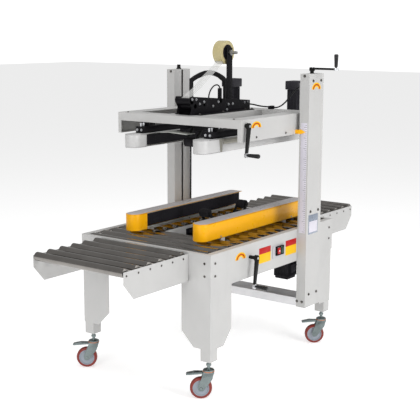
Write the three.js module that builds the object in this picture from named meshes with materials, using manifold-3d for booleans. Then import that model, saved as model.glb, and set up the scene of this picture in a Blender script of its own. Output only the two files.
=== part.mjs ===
// Carton sealing machine: a roller table on four casters, two side-belt drives above the table and
// two under a height-adjustable head frame, a tape head above and below, and two lift columns.
// Millimetres, +Z up, +X the way the cartons travel, the operator stands on the -Y side.
import * as THREE from 'three';
import { mergeVertices } from 'three/addons/utils/BufferGeometryUtils.js';
import Module from 'manifold-3d';

const wasm = await Module();
wasm.setup();

// ---- Driving dimensions -------------------------------------------------------------------------
const GAP = 0.3; // running and bolted clearance between neighbouring solids
const WELD = 0.5; // how far joined solids sink into each other
const SHEET = 3; // thickness of the folded plates

const TABLE = { halfLength: 510, halfWidth: 367, top: 640, bottom: 488, flange: 30, endDepth: 100 };
const LEG = { wing: 154, bottom: 223, chamferTop: 288, footX: 96, footY: 89, tube: 51, tubeBottom: 169 };
const EXTENSION = { length: 414, halfWidth: 251.5, top: 632, depth: 119.5, endDepth: 52, endChamfer: 59 };
const ROLLER = { radius: 19, wall: 2, z: 625, pitch: 72, firstX: 547, count: 6, axleRadius: 6 };
const MAIN = { pitch: 73, firstX: -474.5, count: 14, endY: 332, innerRail: 120, splitFrom: 4, splitTo: 11 };
const INNER_RAIL = { x0: -230, x1: 380, tieX: [-192, 330] };
const COLUMN = { x0: 177, x1: 305, inner: 367.4, depth: 48.6, top: 1364, bottom: 263, wall: 3, slot: 14 };
const CROSS = { x0: 187, x1: 295, z0: 263, z1: 303, wall: 4 };
const CARRIAGE = { x0: -270, x1: 345, halfWidth: 348, top: 1182, beamBottom: 1144, sideBottom: 1086 };
const BEAM = { frontDepth: 70, rearDepth: 80, sideFlange: 80, deckInner: 45, deckOuter: 100 };
const DRIVE = { inner: 155, outer: 232, noseX: -341.5, endX: 482, openX: -295, setback: 5.5, sheet: 2.5 };
const BELT = { outerRadius: 34, thickness: 3, centreY: 192, rearX: 442.5 };
const LOWER_DRIVE = { z0: 652, z1: 729, belt0: 670, belt1: 723 };
const UPPER_DRIVE = { z0: 1035, z1: 1095, belt0: 1043, belt1: 1089 };
const LOWER_SCREW = { x: -219, z: 580, radius: 8 };
const UPPER_SCREW = { x: -235, z: 1156, radius: 7 };
const UPPER_REAR_ROD = { x: 305, z: 1160, radius: 8 };
const LOWER_ROD = { x: -219, z: 546, radius: 8 };
const LOWER_REAR_ROD = { x: 292, z: 505, radius: 8 };
const LIFT_SCREW = { x: 241, y: 390, radius: 9, bottom: 309 };
const CRANK = { arm: 125, hub: 13, hubHeight: 16, ring: 11, grip: 10, gripLength: 64, tiltDegrees: 8 };
const CASTER = { wheel: 48, width: 28, trail: 33, turnDegrees: 126, legX: 477.7, legY: 334.7,
  pedalReach: 98, pedalHalf: 14 };
const HEAD = { half: 42, plate: 4, tapeZ: 1456, tapeX: 84, tapeRadius: 55, tapeWidth: 48, core: 38 };
const PRESS = { radius: 21, length: 58, frontX: -55, rearX: 248 };
const MOTOR = { upperX: 426, upperY: 191, shaftX: 365, shaftY: 205, lowerX: 354, lowerY: 194 };
const CORD = { cable: 3.5, conduit: 4.6 };

// The lift crank reaches furthest to the operator's side, and a far caster's pedal to the other.
const NEAR_REACH = LIFT_SCREW.y + CRANK.arm + CRANK.ring;
const CASTER_TURN = THREE.MathUtils.degToRad(CASTER.turnDegrees);
const FAR_REACH = CASTER.legY + CASTER.pedalReach * Math.sin(CASTER_TURN)
  - CASTER.pedalHalf * Math.cos(CASTER_TURN);
const CENTRE_Y = (NEAR_REACH - FAR_REACH) / 2;

// ---- Finishes -----------------------------------------------------------------------------------
const finish = (color, roughness, metalness) =>
  new THREE.MeshStandardMaterial({ color, roughness, metalness });
const FINISHES = {
  paint: () => finish(0xcbcbcb, 0.45, 0.1),
  guardYellow: () => finish(0xf5c10b, 0.4, 0.1),
  steel: () => finish(0x8a8780, 0.3, 0.9),
  zinc: () => finish(0xb4b6ba, 0.35, 0.9),
  blackPaint: () => finish(0x14131a, 0.5, 0.3),
  belt: () => finish(0x17161b, 0.85, 0),
  rubber: () => finish(0x1c1b1f, 0.8, 0),
  wheelRed: () => finish(0x8a3425, 0.5, 0),
  tape: () => finish(0xcdc295, 0.3, 0),
  plasticGrey: () => finish(0x9a9c9e, 0.5, 0),
  plasticRed: () => finish(0xc22018, 0.4, 0),
  plasticGreen: () => finish(0x1f5f3a, 0.4, 0),
};

// ---- Solid helpers ------------------------------------------------------------------------------
function toSolid(geometry) {
  const bare = geometry.clone();
  bare.deleteAttribute('normal');
  bare.deleteAttribute('uv');
  const merged = mergeVertices(bare, 1e-4);
  const mesh = new wasm.Mesh({
    numProp: 3,
    vertProperties: new Float32Array(merged.attributes.position.array),
    triVerts: new Uint32Array(merged.index.array),
  });
  return new wasm.Manifold(mesh);
}

function toGeometry(solid) {
  const mesh = solid.getMesh();
  const geometry = new THREE.BufferGeometry();
  geometry.setAttribute('position', new THREE.BufferAttribute(new Float32Array(mesh.vertProperties), 3));
  geometry.setIndex(new THREE.BufferAttribute(new Uint32Array(mesh.triVerts), 1));
  geometry.computeVertexNormals();
  return geometry;
}

const join = (...solids) => solids.reduce((whole, solid) => whole.add(solid));
const cut = (solid, ...tools) => tools.reduce((rest, tool) => rest.subtract(tool), solid);

function box(x0, x1, y0, y1, z0, z1) {
  const geometry = new THREE.BoxGeometry(x1 - x0, y1 - y0, z1 - z0);
  return toSolid(geometry.translate((x0 + x1) / 2, (y0 + y1) / 2, (z0 + z1) / 2));
}

// A box given for the +Y side, mirrored to the side that `side` (+1 or -1) names.
function sideBox(side, x0, x1, y0, y1, z0, z1) {
  return box(x0, x1, Math.min(side * y0, side * y1), Math.max(side * y0, side * y1), z0, z1);
}

function outline(points) {
  return new THREE.Shape(points.map(([a, b]) => new THREE.Vector2(a, b)));
}

function extrude(shape, length) {
  return new THREE.ExtrudeGeometry(shape, { depth: length, bevelEnabled: false, curveSegments: 7 });
}

const alongX = (shape, x0, x1) => {
  const basis = new THREE.Matrix4().makeBasis(
    new THREE.Vector3(0, 1, 0), new THREE.Vector3(0, 0, 1), new THREE.Vector3(1, 0, 0));
  return toSolid(extrude(shape, x1 - x0).applyMatrix4(basis).translate(x0, 0, 0));
};
const alongY = (shape, y0, y1) => toSolid(extrude(shape, y1 - y0).rotateX(Math.PI / 2).translate(0, y1, 0));
const alongZ = (shape, z0, z1) => toSolid(extrude(shape, z1 - z0).translate(0, 0, z0));

const rodY = (radius, x, z, y0, y1, sides = 12) =>
  toSolid(new THREE.CylinderGeometry(radius, radius, y1 - y0, sides).translate(x, (y0 + y1) / 2, z));
const rodZ = (radius, x, y, z0, z1, sides = 16) =>
  toSolid(new THREE.CylinderGeometry(radius, radius, z1 - z0, sides).rotateX(Math.PI / 2)
    .translate(x, y, (z0 + z1) / 2));

// A round cable of `sides` flats swept along a smooth curve through the given points.
function cable(points, radius, sides, steps) {
  const path = new THREE.CatmullRomCurve3(points.map(([x, y, z]) => new THREE.Vector3(x, y, z)));
  const section = new THREE.Shape();
  section.absarc(0, 0, radius, 0, 2 * Math.PI);
  // A full turn of arc is drawn with twice as many chords as curveSegments.
  const options = { steps, extrudePath: path, curveSegments: sides / 2, bevelEnabled: false };
  return toSolid(new THREE.ExtrudeGeometry(section, options));
}

// A stadium in plan: two half circles of one radius joined by straight runs along X.
function stadium(x0, x1, y, radius) {
  const shape = new THREE.Shape();
  shape.moveTo(x0, y - radius);
  shape.lineTo(x1, y - radius);
  shape.absarc(x1, y, radius, -Math.PI / 2, Math.PI / 2);
  shape.lineTo(x0, y + radius);
  shape.absarc(x0, y, radius, Math.PI / 2, 1.5 * Math.PI);
  return shape;
}

// A solid carried through a matrix; a mirroring one turns the triangles over so they still face out.
function moved(solid, matrix) {
  const geometry = toGeometry(solid).applyMatrix4(matrix);
  if (matrix.determinant() < 0) {
    const { array } = geometry.index;
    for (let i = 0; i < array.length; i += 3) {
      [array[i], array[i + 1]] = [array[i + 1], array[i]];
    }
  }
  return toSolid(geometry);
}
const MIRROR_Y = new THREE.Matrix4().makeScale(1, -1, 1);

const machine = new THREE.Group();
machine.position.y = CENTRE_Y;

function place(name, solid, material, group = machine) {
  const mesh = new THREE.Mesh(toGeometry(solid), FINISHES[material]());
  mesh.name = name;
  group.add(mesh);
}

const SIDES = [['near', -1], ['far', 1]];
const ENDS = [['infeed', -1], ['outfeed', 1]];

// ---- Table frame: one folded and welded ring with slide rods across it ----------------------------
function tableFrame() {
  const { halfLength: L, halfWidth: W, top, bottom, flange, endDepth } = TABLE;
  const pieces = [];
  for (const [, side] of SIDES) {
    pieces.push(sideBox(side, -L, L, W - SHEET, W, bottom, top));
    pieces.push(sideBox(side, -L, L, W - flange, W - WELD, top - SHEET, top));
    const lowerFlange = L - LEG.wing - 20;
    pieces.push(sideBox(side, -lowerFlange, lowerFlange, W - flange, W - WELD, bottom, bottom + SHEET));
  }
  for (const [, end] of ENDS) {
    const [x0, x1] = end < 0 ? [-L, -L + SHEET] : [L - SHEET, L];
    pieces.push(box(x0, x1, -W + WELD, W - WELD, top - endDepth, top));
    const [f0, f1] = end < 0 ? [-L, -L + 15] : [L - 15, L];
    pieces.push(box(f0, f1, -W + WELD, W - WELD, top - SHEET, top));
  }
  for (const rod of [LOWER_ROD, LOWER_REAR_ROD]) {
    pieces.push(rodY(rod.radius, rod.x, rod.z, -W + WELD, W - WELD));
  }
  const screwHole = rodY(LOWER_SCREW.radius + 2, LOWER_SCREW.x, LOWER_SCREW.z, -W - 5, -W + 10);
  return cut(join(...pieces), screwHole);
}
place('table_frame', tableFrame(), 'paint');

// ---- Legs: a folded angle plate with chamfered wings and a square tube that drops into a caster ---
function leg(end, side) {
  const outerX = TABLE.halfLength - SHEET - GAP;
  const outerY = TABLE.halfWidth - SHEET - GAP;
  const topZ = TABLE.top - SHEET - GAP;
  const wing = (outer, footWidth, sign) => outline([
    [sign * outer, LEG.bottom], [sign * (outer - footWidth), LEG.bottom],
    [sign * (outer - LEG.wing), LEG.chamferTop], [sign * (outer - LEG.wing), topZ], [sign * outer, topZ],
  ]);
  const ordered = (a, b) => [Math.min(a, b), Math.max(a, b)];
  const sheetX = ordered(end * outerX, end * (outerX - SHEET));
  const sheetY = ordered(side * outerY, side * (outerY - SHEET));
  const acrossWing = alongX(wing(outerY, LEG.footY, side), sheetX[0], sheetX[1]);
  const alongWing = alongY(wing(outerX, LEG.footX, end), sheetY[0], sheetY[1]);
  const inset = SHEET - WELD;
  const tubeX = ordered(end * (outerX - inset), end * (outerX - inset - LEG.tube));
  const tubeY = ordered(side * (outerY - inset), side * (outerY - inset - LEG.tube));
  const tube = box(tubeX[0], tubeX[1], tubeY[0], tubeY[1], LEG.tubeBottom, 560);
  const bore = box(tubeX[0] + 3, tubeX[1] - 3, tubeY[0] + 3, tubeY[1] - 3, LEG.tubeBottom + 4, 561);
  return join(acrossWing, alongWing, cut(tube, bore));
}
for (const [endName, end] of ENDS) {
  for (const [sideName, side] of SIDES) {
    place(`leg_${endName}_${sideName}`, leg(end, side), 'paint');
  }
}

// ---- Extension tables: two shaped side plates on a back plate --------------------------------------
function extensionFrame(end) {
  const x0 = TABLE.halfLength + GAP;
  const x1 = TABLE.halfLength + EXTENSION.length;
  const { halfWidth: W, top, depth, endDepth, endChamfer } = EXTENSION;
  const profile = outline([
    [end * x0, top], [end * x0, top - depth], [end * (x1 - endChamfer), top - depth],
    [end * x1, top - endDepth], [end * x1, top],
  ]);
  const span = (length) => [Math.min(end * x0, end * (x0 + length)), Math.max(end * x0, end * (x0 + length))];
  const pieces = [box(...span(SHEET), -W + WELD, W - WELD, top - depth, ROLLER.z - ROLLER.radius - 6)];
  for (const [, side] of SIDES) {
    pieces.push(alongY(profile, side < 0 ? -W : W - SHEET, side < 0 ? -W + SHEET : W));
    pieces.push(sideBox(side, ...span(26), W - SHEET - 26, W - SHEET + WELD, top - depth, top - depth + SHEET));
  }
  return join(...pieces);
}
for (const [endName, end] of ENDS) {
  place(`${endName}_extension_frame`, extensionFrame(end), 'paint');
}

// A roller turned about Y: a thin tube closed by a disc at its low end, on an axle from end to end.
function tubeRoller(x, tube, axle, sides) {
  const { radius, wall, axleRadius, z } = ROLLER;
  const profile = [
    [0, axle[0]], [axleRadius, axle[0]], [axleRadius, tube[0]], [radius, tube[0]], [radius, tube[1]],
    [radius - wall, tube[1]], [radius - wall, tube[0] + wall], [axleRadius, tube[0] + wall],
    [axleRadius, axle[1]], [0, axle[1]],
  ].map(([r, y]) => new THREE.Vector2(r, y));
  return toSolid(new THREE.LatheGeometry(profile, sides).translate(x, 0, z));
}

function extensionRoller(x) {
  const inner = EXTENSION.halfWidth - SHEET;
  return tubeRoller(x, [-inner + 3, inner - 3], [-inner + GAP, inner - GAP], 16);
}
for (const [endName, end] of ENDS) {
  for (let i = 0; i < ROLLER.count; i += 1) {
    const x = end * (ROLLER.firstX + ROLLER.pitch * i);
    place(`${endName}_roller_${i + 1}`, extensionRoller(x), 'steel');
  }
}

// ---- Main rollers: split round the lower tape head, in two banks on their rails -------------------
function mainBank(side) {
  const endY = MAIN.endY;
  const rail = (y0, y1) => sideBox(side, -TABLE.halfLength + 25, TABLE.halfLength - 25, y0, y1, 592, 632);
  const pieces = [rail(endY - WELD, endY + 4)];
  const { x0: railStart, x1: railEnd, tieX } = INNER_RAIL;
  pieces.push(sideBox(side, railStart, railEnd, MAIN.innerRail, MAIN.innerRail + 4, 592, 632));
  for (let i = 0; i < MAIN.count; i += 1) {
    const x = MAIN.firstX + MAIN.pitch * i;
    const split = i >= MAIN.splitFrom && i <= MAIN.splitTo;
    if (!split && side < 0) {
      continue;
    }
    // The axle ends sink into the rails, and the tube stops short of them so that its bore stays open.
    const inner = split ? MAIN.innerRail + 4 : -endY + GAP + 2 * WELD;
    const axle = side > 0 ? [inner - WELD, endY] : [-endY, -inner + WELD];
    const roller = tubeRoller(x, [axle[0] + 3, axle[1] - 3], axle, 12);
    pieces.push(roller);
  }
  // Cross ties carry the inner rail back to the outer one below the rollers.
  for (const x of tieX) {
    pieces.push(sideBox(side, x, x + 4, MAIN.innerRail, endY, 592, 604));
  }
  return join(...pieces);
}
for (const [sideName, side] of SIDES) {
  place(`main_rollers_${sideName}`, mainBank(side), 'steel');
}

// ---- Columns: lipped channels that open through a slot towards the table --------------------------
function column(side) {
  const { x0, x1, inner, depth, top, bottom, wall, slot } = COLUMN;
  const outer = inner + depth;
  const shell = cut(
    sideBox(side, x0, x1, inner, outer, bottom, top),
    sideBox(side, x0 + wall, x1 - wall, inner + wall, outer - wall, bottom - 1, top - wall),
    sideBox(side, LIFT_SCREW.x - slot / 2, LIFT_SCREW.x + slot / 2, inner - 1, inner + wall + 1,
      bottom + 60, top - wall),
  );
  const bearing = sideBox(side, x0 + 30, x1 - 30, inner + wall - WELD, outer - wall + WELD,
    LIFT_SCREW.bottom - 22, LIFT_SCREW.bottom - GAP);
  const hole = rodZ(LIFT_SCREW.radius + 0.6, LIFT_SCREW.x, side * LIFT_SCREW.y, top - 20, top + 5, 20);
  return cut(join(shell, bearing), hole);
}
for (const [sideName, side] of SIDES) {
  place(`column_${sideName}`, column(side), 'paint');
}

function crossChannel() {
  const { x0, x1, z0, z1, wall } = CROSS;
  const reach = COLUMN.inner - GAP;
  return join(
    box(x0, x1, -reach, reach, z0, z0 + wall),
    box(x0, x0 + wall, -reach, reach, z0, z1),
    box(x1 - wall, x1, -reach, reach, z0, z1),
  );
}
place('cross_channel', crossChannel(), 'paint');

// ---- Casters: each fork swivels under its leg tube and trails the wheel behind the stem -----------
function casterFork() {
  const { wheel, width, trail } = CASTER;
  const top = LEG.tubeBottom - GAP;
  const cheek = outline([
    [-22, 116], [22, 116], [16, 90], [-trail + 14, wheel - 12], [-trail - 12, wheel - 12],
    [-trail - 15, wheel + 10],
  ]);
  const gap = width / 2 + 3;
  const pedal = outline([
    [-trail + 8, 112], [-CASTER.pedalReach + 2, 106], [-CASTER.pedalReach, 112], [-60, 121],
    [-trail + 8, 120],
  ]);
  return join(
    rodZ(7, 0, 0, 120, top, 8),
    rodZ(12, 0, 0, 146, 156, 6),
    rodZ(25, 0, 0, 122, 132, 16),
    box(-24, 24, -gap - 3, gap + 3, 114, 123),
    alongY(cheek, gap, gap + 3),
    alongY(cheek, -gap - 3, -gap),
    alongY(pedal, -CASTER.pedalHalf, CASTER.pedalHalf),
    box(-trail - 2, -18, -14, 14, 113, 117),
    rodY(6, -trail, wheel, -gap - 7, -gap, 6),
    rodY(6, -trail, wheel, gap, gap + 7, 6),
  );
}

function casterWheel() {
  const { wheel, width, trail } = CASTER;
  const half = width / 2;
  const profile = [
    [0, -half - 1], [10, -half - 1], [10, -half + 4], [wheel - 12, -half + 4], [wheel - 12, -half + 1],
    [wheel - 5, -half + 1], [wheel, -half + 6], [wheel, half - 6], [wheel - 5, half - 1],
    [wheel - 12, half - 1], [wheel - 12, half - 4], [10, half - 4], [10, half + 1], [0, half + 1],
  ].map(([r, y]) => new THREE.Vector2(r, y));
  return toSolid(new THREE.LatheGeometry(profile, 20).translate(-trail, 0, wheel));
}
for (const [endName, end] of ENDS) {
  for (const [sideName, side] of SIDES) {
    const mount = new THREE.Group();
    mount.position.set(end * CASTER.legX, side * CASTER.legY, 0);
    // The fork trails along its own -X, so it is turned to point that way along the trail direction.
    mount.rotation.z = CASTER_TURN - Math.PI;
    machine.add(mount);
    place(`caster_fork_${endName}_${sideName}`, casterFork(), 'zinc', mount);
    place(`caster_wheel_${endName}_${sideName}`, casterWheel(), 'wheelRed', mount);
  }
}

// ---- Side-belt drives: a cover round the nose, a slide bed inside the belt loop -------------------
function driveCover({ z0, z1 }) {
  const { inner, outer, noseX, endX, openX, setback, sheet } = DRIVE;
  const radius = (outer - inner) / 2;
  const centre = (outer + inner) / 2;
  const plan = new THREE.Shape();
  plan.moveTo(noseX, inner);
  plan.lineTo(endX, inner);
  plan.lineTo(endX, outer - 12);
  plan.lineTo(endX - 12, outer);
  plan.lineTo(noseX, outer);
  plan.absarc(noseX, centre, radius, Math.PI / 2, 1.5 * Math.PI);
  const cavityPlan = stadium(noseX, endX - radius, centre, radius - sheet);
  const cavity = join(
    alongZ(cavityPlan, z0 + SHEET, z1 - SHEET),
    box(openX, endX + 1, inner - 1, outer - sheet, z0 + SHEET, z1 - SHEET),
  );
  const lip = box(openX, endX + 1, inner - 1, inner + setback, z0 - 1, z1 + 1);
  // The slide bed is a box section, open at both ends, between the cover's top and bottom.
  const [bed0, bed1] = [noseX + 30, BELT.rearX - 30];
  const bed = cut(
    box(bed0, bed1, BELT.centreY - 24, BELT.centreY + 24, z0 + 1, z1 - 1),
    box(bed0 - 1, bed1 + 1, BELT.centreY - 20, BELT.centreY + 20, z0 + SHEET + 1, z1 - SHEET - 1),
  );
  return join(cut(alongZ(plan, z0, z1), cavity, lip), bed);
}

function driveBelt({ belt0, belt1 }) {
  const { outerRadius, thickness, centreY, rearX } = BELT;
  return cut(
    alongZ(stadium(DRIVE.noseX, rearX, centreY, outerRadius), belt0, belt1),
    alongZ(stadium(DRIVE.noseX, rearX, centreY, outerRadius - thickness), belt0 - 1, belt1 + 1),
  );
}

// A slotted hanger plate with clearance round every rod and screw that passes through it.
function hanger(x, halfX, y0, y1, z0, z1, rods) {
  const plate = box(x - halfX, x + halfX, y0, y1, z0, z1);
  return cut(plate, ...rods.map((rod) => rodY(rod.radius + 0.6, rod.x, rod.z, y0 - 1, y1 + 1, 20)));
}

function lowerGuide() {
  const { z0 } = LOWER_DRIVE;
  const rail = box(DRIVE.openX, DRIVE.endX, DRIVE.inner + 3.5, DRIVE.inner + 14, z0, z0 + 16);
  return join(
    driveCover(LOWER_DRIVE),
    rail,
    hanger(LOWER_SCREW.x, 14, 190, 222, 530, z0 + WELD, [LOWER_SCREW, LOWER_ROD]),
    hanger(LOWER_REAR_ROD.x, 14, 190, 222, 489, z0 + WELD, [LOWER_REAR_ROD]),
  );
}

function upperHousing() {
  const top = UPPER_DRIVE.z1;
  const carrier = box(-300, 380, 172, 216, top - WELD, top + 30);
  return join(
    driveCover(UPPER_DRIVE),
    carrier,
    hanger(UPPER_SCREW.x, 22, 172, 216, top + 28, CARRIAGE.top - SHEET - 6, [UPPER_SCREW]),
    hanger(UPPER_REAR_ROD.x, 22, 172, 216, top + 28, CARRIAGE.top - SHEET - 6, [UPPER_REAR_ROD]),
  );
}

function upperMotor() {
  const { upperX: x, upperY: y } = MOTOR;
  const block = (half, low, high) => box(x - half, x + half, y - half, y + half, low, high);
  return join(rodZ(18, x, y, UPPER_DRIVE.z1 + GAP, 1152, 20), block(36, 1150, 1170), block(32, 1168, 1276),
    block(38, 1274, 1316));
}

for (const [sideName, side] of SIDES) {
  const turned = (solid) => (side < 0 ? moved(solid, MIRROR_Y) : solid);
  place(`lower_guide_${sideName}`, turned(lowerGuide()), 'guardYellow');
  place(`lower_belt_${sideName}`, turned(driveBelt(LOWER_DRIVE)), 'belt');
  place(`upper_housing_${sideName}`, turned(upperHousing()), 'paint');
  place(`upper_belt_${sideName}`, turned(driveBelt(UPPER_DRIVE)), 'belt');
  place(`upper_motor_${sideName}`, turned(upperMotor()), 'blackPaint');
}

// The lower gear motor's shaft rises between two rollers; its short lead ends in a gland on its own side.
function lowerMotor() {
  const { shaftX, shaftY, lowerX: x, lowerY } = MOTOR;
  const y = -lowerY;
  const block = (half, low, high) => box(x - half, x + half, y - half, y + half, low, high);
  const leadPath = [[x + 16, y - 30, 486], [x + 20, y - 62, 462], [x + 6, y - 72, 430], [x - 6, y - 44, 398]];
  return join(
    box(shaftX - 12, shaftX + 12, -shaftY - 18, -shaftY + 18, 558, LOWER_DRIVE.z0 - GAP),
    block(45, 476, 560),
    block(43, 354, 478),
    block(37, 344, 356),
    box(x - 26, x + 14, y - 54, y - 41, 380, 420),
    cable(leadPath, 3, 8, 14),
  );
}
place('lower_motor_near', lowerMotor(), 'blackPaint');

// ---- Head frame: side channels, two cross beams, head decks and the slide blocks in the columns ---
function headFrame() {
  const { x0, x1, halfWidth: W, top, beamBottom, sideBottom } = CARRIAGE;
  const { frontDepth, rearDepth, sideFlange, deckInner, deckOuter } = BEAM;
  const [bay0, bay1] = [x0 + frontDepth, x1 - rearDepth];
  const underTop = top - SHEET / 2;
  // One top sheet with a bay on each side of the head and a slot for the tape head itself.
  const sheet = cut(
    box(x0, x1, -W, W, top - SHEET, top),
    sideBox(-1, bay0, bay1, deckOuter, W - sideFlange, top - SHEET - 1, top + 1),
    sideBox(1, bay0, bay1, deckOuter, W - sideFlange, top - SHEET - 1, top + 1),
    box(bay0, bay1, -deckInner, deckInner, top - SHEET - 1, top + 1),
  );
  const pieces = [sheet];
  for (const [, side] of SIDES) {
    pieces.push(sideBox(side, x0, x1, W - SHEET, W, sideBottom, underTop));
    pieces.push(sideBox(side, x0 + 1, x1 - 1, W - 18, W - 1, sideBottom, sideBottom + SHEET));
    pieces.push(sideBox(side, x0, x0 + SHEET, W - 18, W - 1, sideBottom + 1, beamBottom + 1));
    pieces.push(sideBox(side, bay0 - 1, bay1 + 1, deckOuter - SHEET, deckOuter, beamBottom + 6, underTop));
    // Tongue through the column's slot, and the slide block that runs inside the column on the screw.
    const z0 = sideBottom + 14;
    const z1 = top - 12;
    const tongueHalf = COLUMN.slot / 2 - 1;
    const blockY = [COLUMN.inner + COLUMN.wall + GAP + 0.5, COLUMN.inner + COLUMN.depth - COLUMN.wall - 2];
    const [tongue0, tongue1] = [LIFT_SCREW.x - tongueHalf, LIFT_SCREW.x + tongueHalf];
    const tongue = sideBox(side, tongue0, tongue1, W - 1, blockY[0] + 1, z0 + 2, z1 - 2);
    const block = cut(
      sideBox(side, COLUMN.x0 + COLUMN.wall + 8, COLUMN.x1 - COLUMN.wall - 8, blockY[0], blockY[1], z0, z1),
      rodZ(LIFT_SCREW.radius + 0.6, LIFT_SCREW.x, side * LIFT_SCREW.y, z0 - 1, z1 + 1, 20),
    );
    pieces.push(tongue, block);
  }
  for (const [b0, b1] of [[x0, bay0], [bay1, x1]]) {
    pieces.push(box(b0, b0 + SHEET, -W + 1, W - 1, beamBottom, underTop));
    pieces.push(box(b1 - SHEET, b1, -W + 1, W - 1, beamBottom, underTop));
  }
  pieces.push(rodY(UPPER_REAR_ROD.radius, UPPER_REAR_ROD.x, UPPER_REAR_ROD.z, -W + 1, W - 1));
  // Post that holds the head cable up beside the column.
  pieces.push(box(231, 251, -W + 4, -W + 16, underTop, 1318));
  const screwHole = rodY(UPPER_SCREW.radius + 2, UPPER_SCREW.x, UPPER_SCREW.z, -W - 5, -W + 10);
  return cut(join(...pieces), screwHole);
}
place('head_frame', headFrame(), 'paint');

// ---- Cranks: a hub on the shaft, a tapered arm and a turning grip ---------------------------------
// Built with the shaft along +Z and the arm along +X, then turned to where each crank stands.
function crankArm(height) {
  const { arm: reach, hub, hubHeight, ring, grip, gripLength: length } = CRANK;
  const arm = outline([[0, -hub], [reach, -7.5], [reach, 7.5], [0, hub]]);
  const profile = [
    [0, 0], [4.5, 0], [4.5, 6], [grip - 3, 8], [grip - 1.5, length / 2], [grip, length - 6],
    [grip - 1.5, length - 1], [grip - 4, length], [0, length],
  ].map(([r, z]) => new THREE.Vector2(r, z));
  const gripSolid = toSolid(new THREE.LatheGeometry(profile, 12).rotateX(Math.PI / 2)
    .translate(reach, 0, height + hubHeight - 2));
  return join(
    rodZ(hub, 0, 0, height, height + hubHeight, 20),
    alongZ(arm, height + 6, height + 15),
    rodZ(ring, reach, 0, height + 4, height + hubHeight, 16),
    gripSolid,
  );
}

function liftCrank() {
  const shaft = rodZ(LIFT_SCREW.radius, 0, 0, LIFT_SCREW.bottom, COLUMN.top + 14, 20);
  const matrix = new THREE.Matrix4().makeRotationZ(-Math.PI / 2).setPosition(LIFT_SCREW.x, -LIFT_SCREW.y, 0);
  return moved(join(shaft, crankArm(COLUMN.top + 12)), matrix);
}
place('lift_crank', liftCrank(), 'blackPaint');

function farScrew() {
  return join(
    rodZ(LIFT_SCREW.radius, LIFT_SCREW.x, LIFT_SCREW.y, LIFT_SCREW.bottom, COLUMN.top + 22, 20),
    rodZ(LIFT_SCREW.radius + 3, LIFT_SCREW.x, LIFT_SCREW.y, COLUMN.top + GAP, COLUMN.top + 6, 20),
  );
}
place('lift_screw_far', farScrew(), 'steel');

// The width screws run under the table and under the head frame. Their cranks hang down, a little
// towards the infeed, and stand off the plate by the given distance.
function widthCrank(screw, face, reach, standOff) {
  const shaft = rodZ(screw.radius, 0, 0, -reach, standOff + 2, 20);
  const tilt = THREE.MathUtils.degToRad(CRANK.tiltDegrees);
  const matrix = new THREE.Matrix4().makeRotationZ(-Math.PI / 2)
    .multiply(new THREE.Matrix4().makeRotationY(Math.PI / 2))
    .multiply(new THREE.Matrix4().makeRotationZ(-tilt)).setPosition(screw.x, -face, screw.z);
  return moved(join(shaft, crankArm(standOff)), matrix);
}
const lowerCrank = widthCrank(LOWER_SCREW, TABLE.halfWidth, TABLE.halfWidth + 340, 27);
const upperCrank = widthCrank(UPPER_SCREW, CARRIAGE.halfWidth, CARRIAGE.halfWidth + 330, 7);
place('lower_width_crank', lowerCrank, 'blackPaint');
place('upper_width_crank', upperCrank, 'blackPaint');

// ---- Tape heads -----------------------------------------------------------------------------------
function upperHead() {
  const { half, plate, tapeX, tapeZ } = HEAD;
  const side = outline([
    [-224, 1184], [-199, 1184], [-194, 1110], [225, 1110], [249, 1150], [249, 1227], [-180, 1263],
    [-225, 1266], [-232, 1250], [-212, 1216],
  ]);
  // The arch is a flat bar with two upright legs and a bowed top.
  const bow = (points) => points.map(([x, z]) => new THREE.Vector2(x, z));
  const arch = new THREE.Shape();
  arch.moveTo(156, 1200);
  arch.lineTo(156, 1328);
  arch.splineThru(bow([[97, 1358], [24, 1374], [-53, 1366], [-129, 1340]]));
  arch.lineTo(-129, 1200);
  arch.lineTo(-108, 1200);
  arch.lineTo(-108, 1326);
  arch.splineThru(bow([[-45, 1345], [24, 1352], [90, 1338], [135, 1314]]));
  arch.lineTo(135, 1200);
  const pieces = [
    alongY(side, half - plate, half),
    alongY(side, -half, -half + plate),
    alongY(arch, 30, half - plate + WELD),
    // Mast of flat bar for the tape roll, bolted inside the near plate, and its spindle.
    box(tapeX - 21, tapeX + 21, -half + plate - WELD, -half + plate + 6, 1200, tapeZ + 22),
    rodY(8, tapeX, tapeZ, -78, -half + plate + 1, 12),
    rodY(7, tapeX, tapeZ, -half + plate, HEAD.tapeWidth / 2 + 6, 16),
    rodY(14, tapeX, tapeZ, -half - 8, -half + plate, 6),
    // Idlers at the infeed end and the spacers that tie the two side plates together.
    rodY(14, -215, 1257 - 12, -half, half, 18),
    rodY(11, -188, 1222, -half, half, 16),
    ...[[-120, 1225], [-60, 1160], [60, 1200], [200, 1180], [200, 1140]]
      .map(([x, z]) => rodY(8, x, z, -half, half, 12)),
  ];
  for (const [, s] of SIDES) {
    pieces.push(sideBox(s, -190, 240, half - 1, BEAM.deckInner + 30, CARRIAGE.top + GAP, CARRIAGE.top + 4));
  }
  // Sensor block with its post on the top edge of the near plate.
  pieces.push(box(0, 16, -half, -half + 14, 1225, 1294));
  return join(...pieces);
}
place('upper_head', upperHead(), 'blackPaint');

function tapeRoll() {
  const { tapeX, tapeZ, tapeRadius, tapeWidth, core } = HEAD;
  const y0 = -tapeWidth / 2;
  const roll = join(
    rodY(tapeRadius, tapeX, tapeZ, y0, -y0, 32),
    rodY(core, tapeX, tapeZ, y0 - 3, y0 + 1, 28),
  );
  return cut(roll, rodY(7 + GAP, tapeX, tapeZ, y0 - 5, -y0 + 1, 16));
}
place('tape_roll', tapeRoll(), 'tape');

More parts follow.
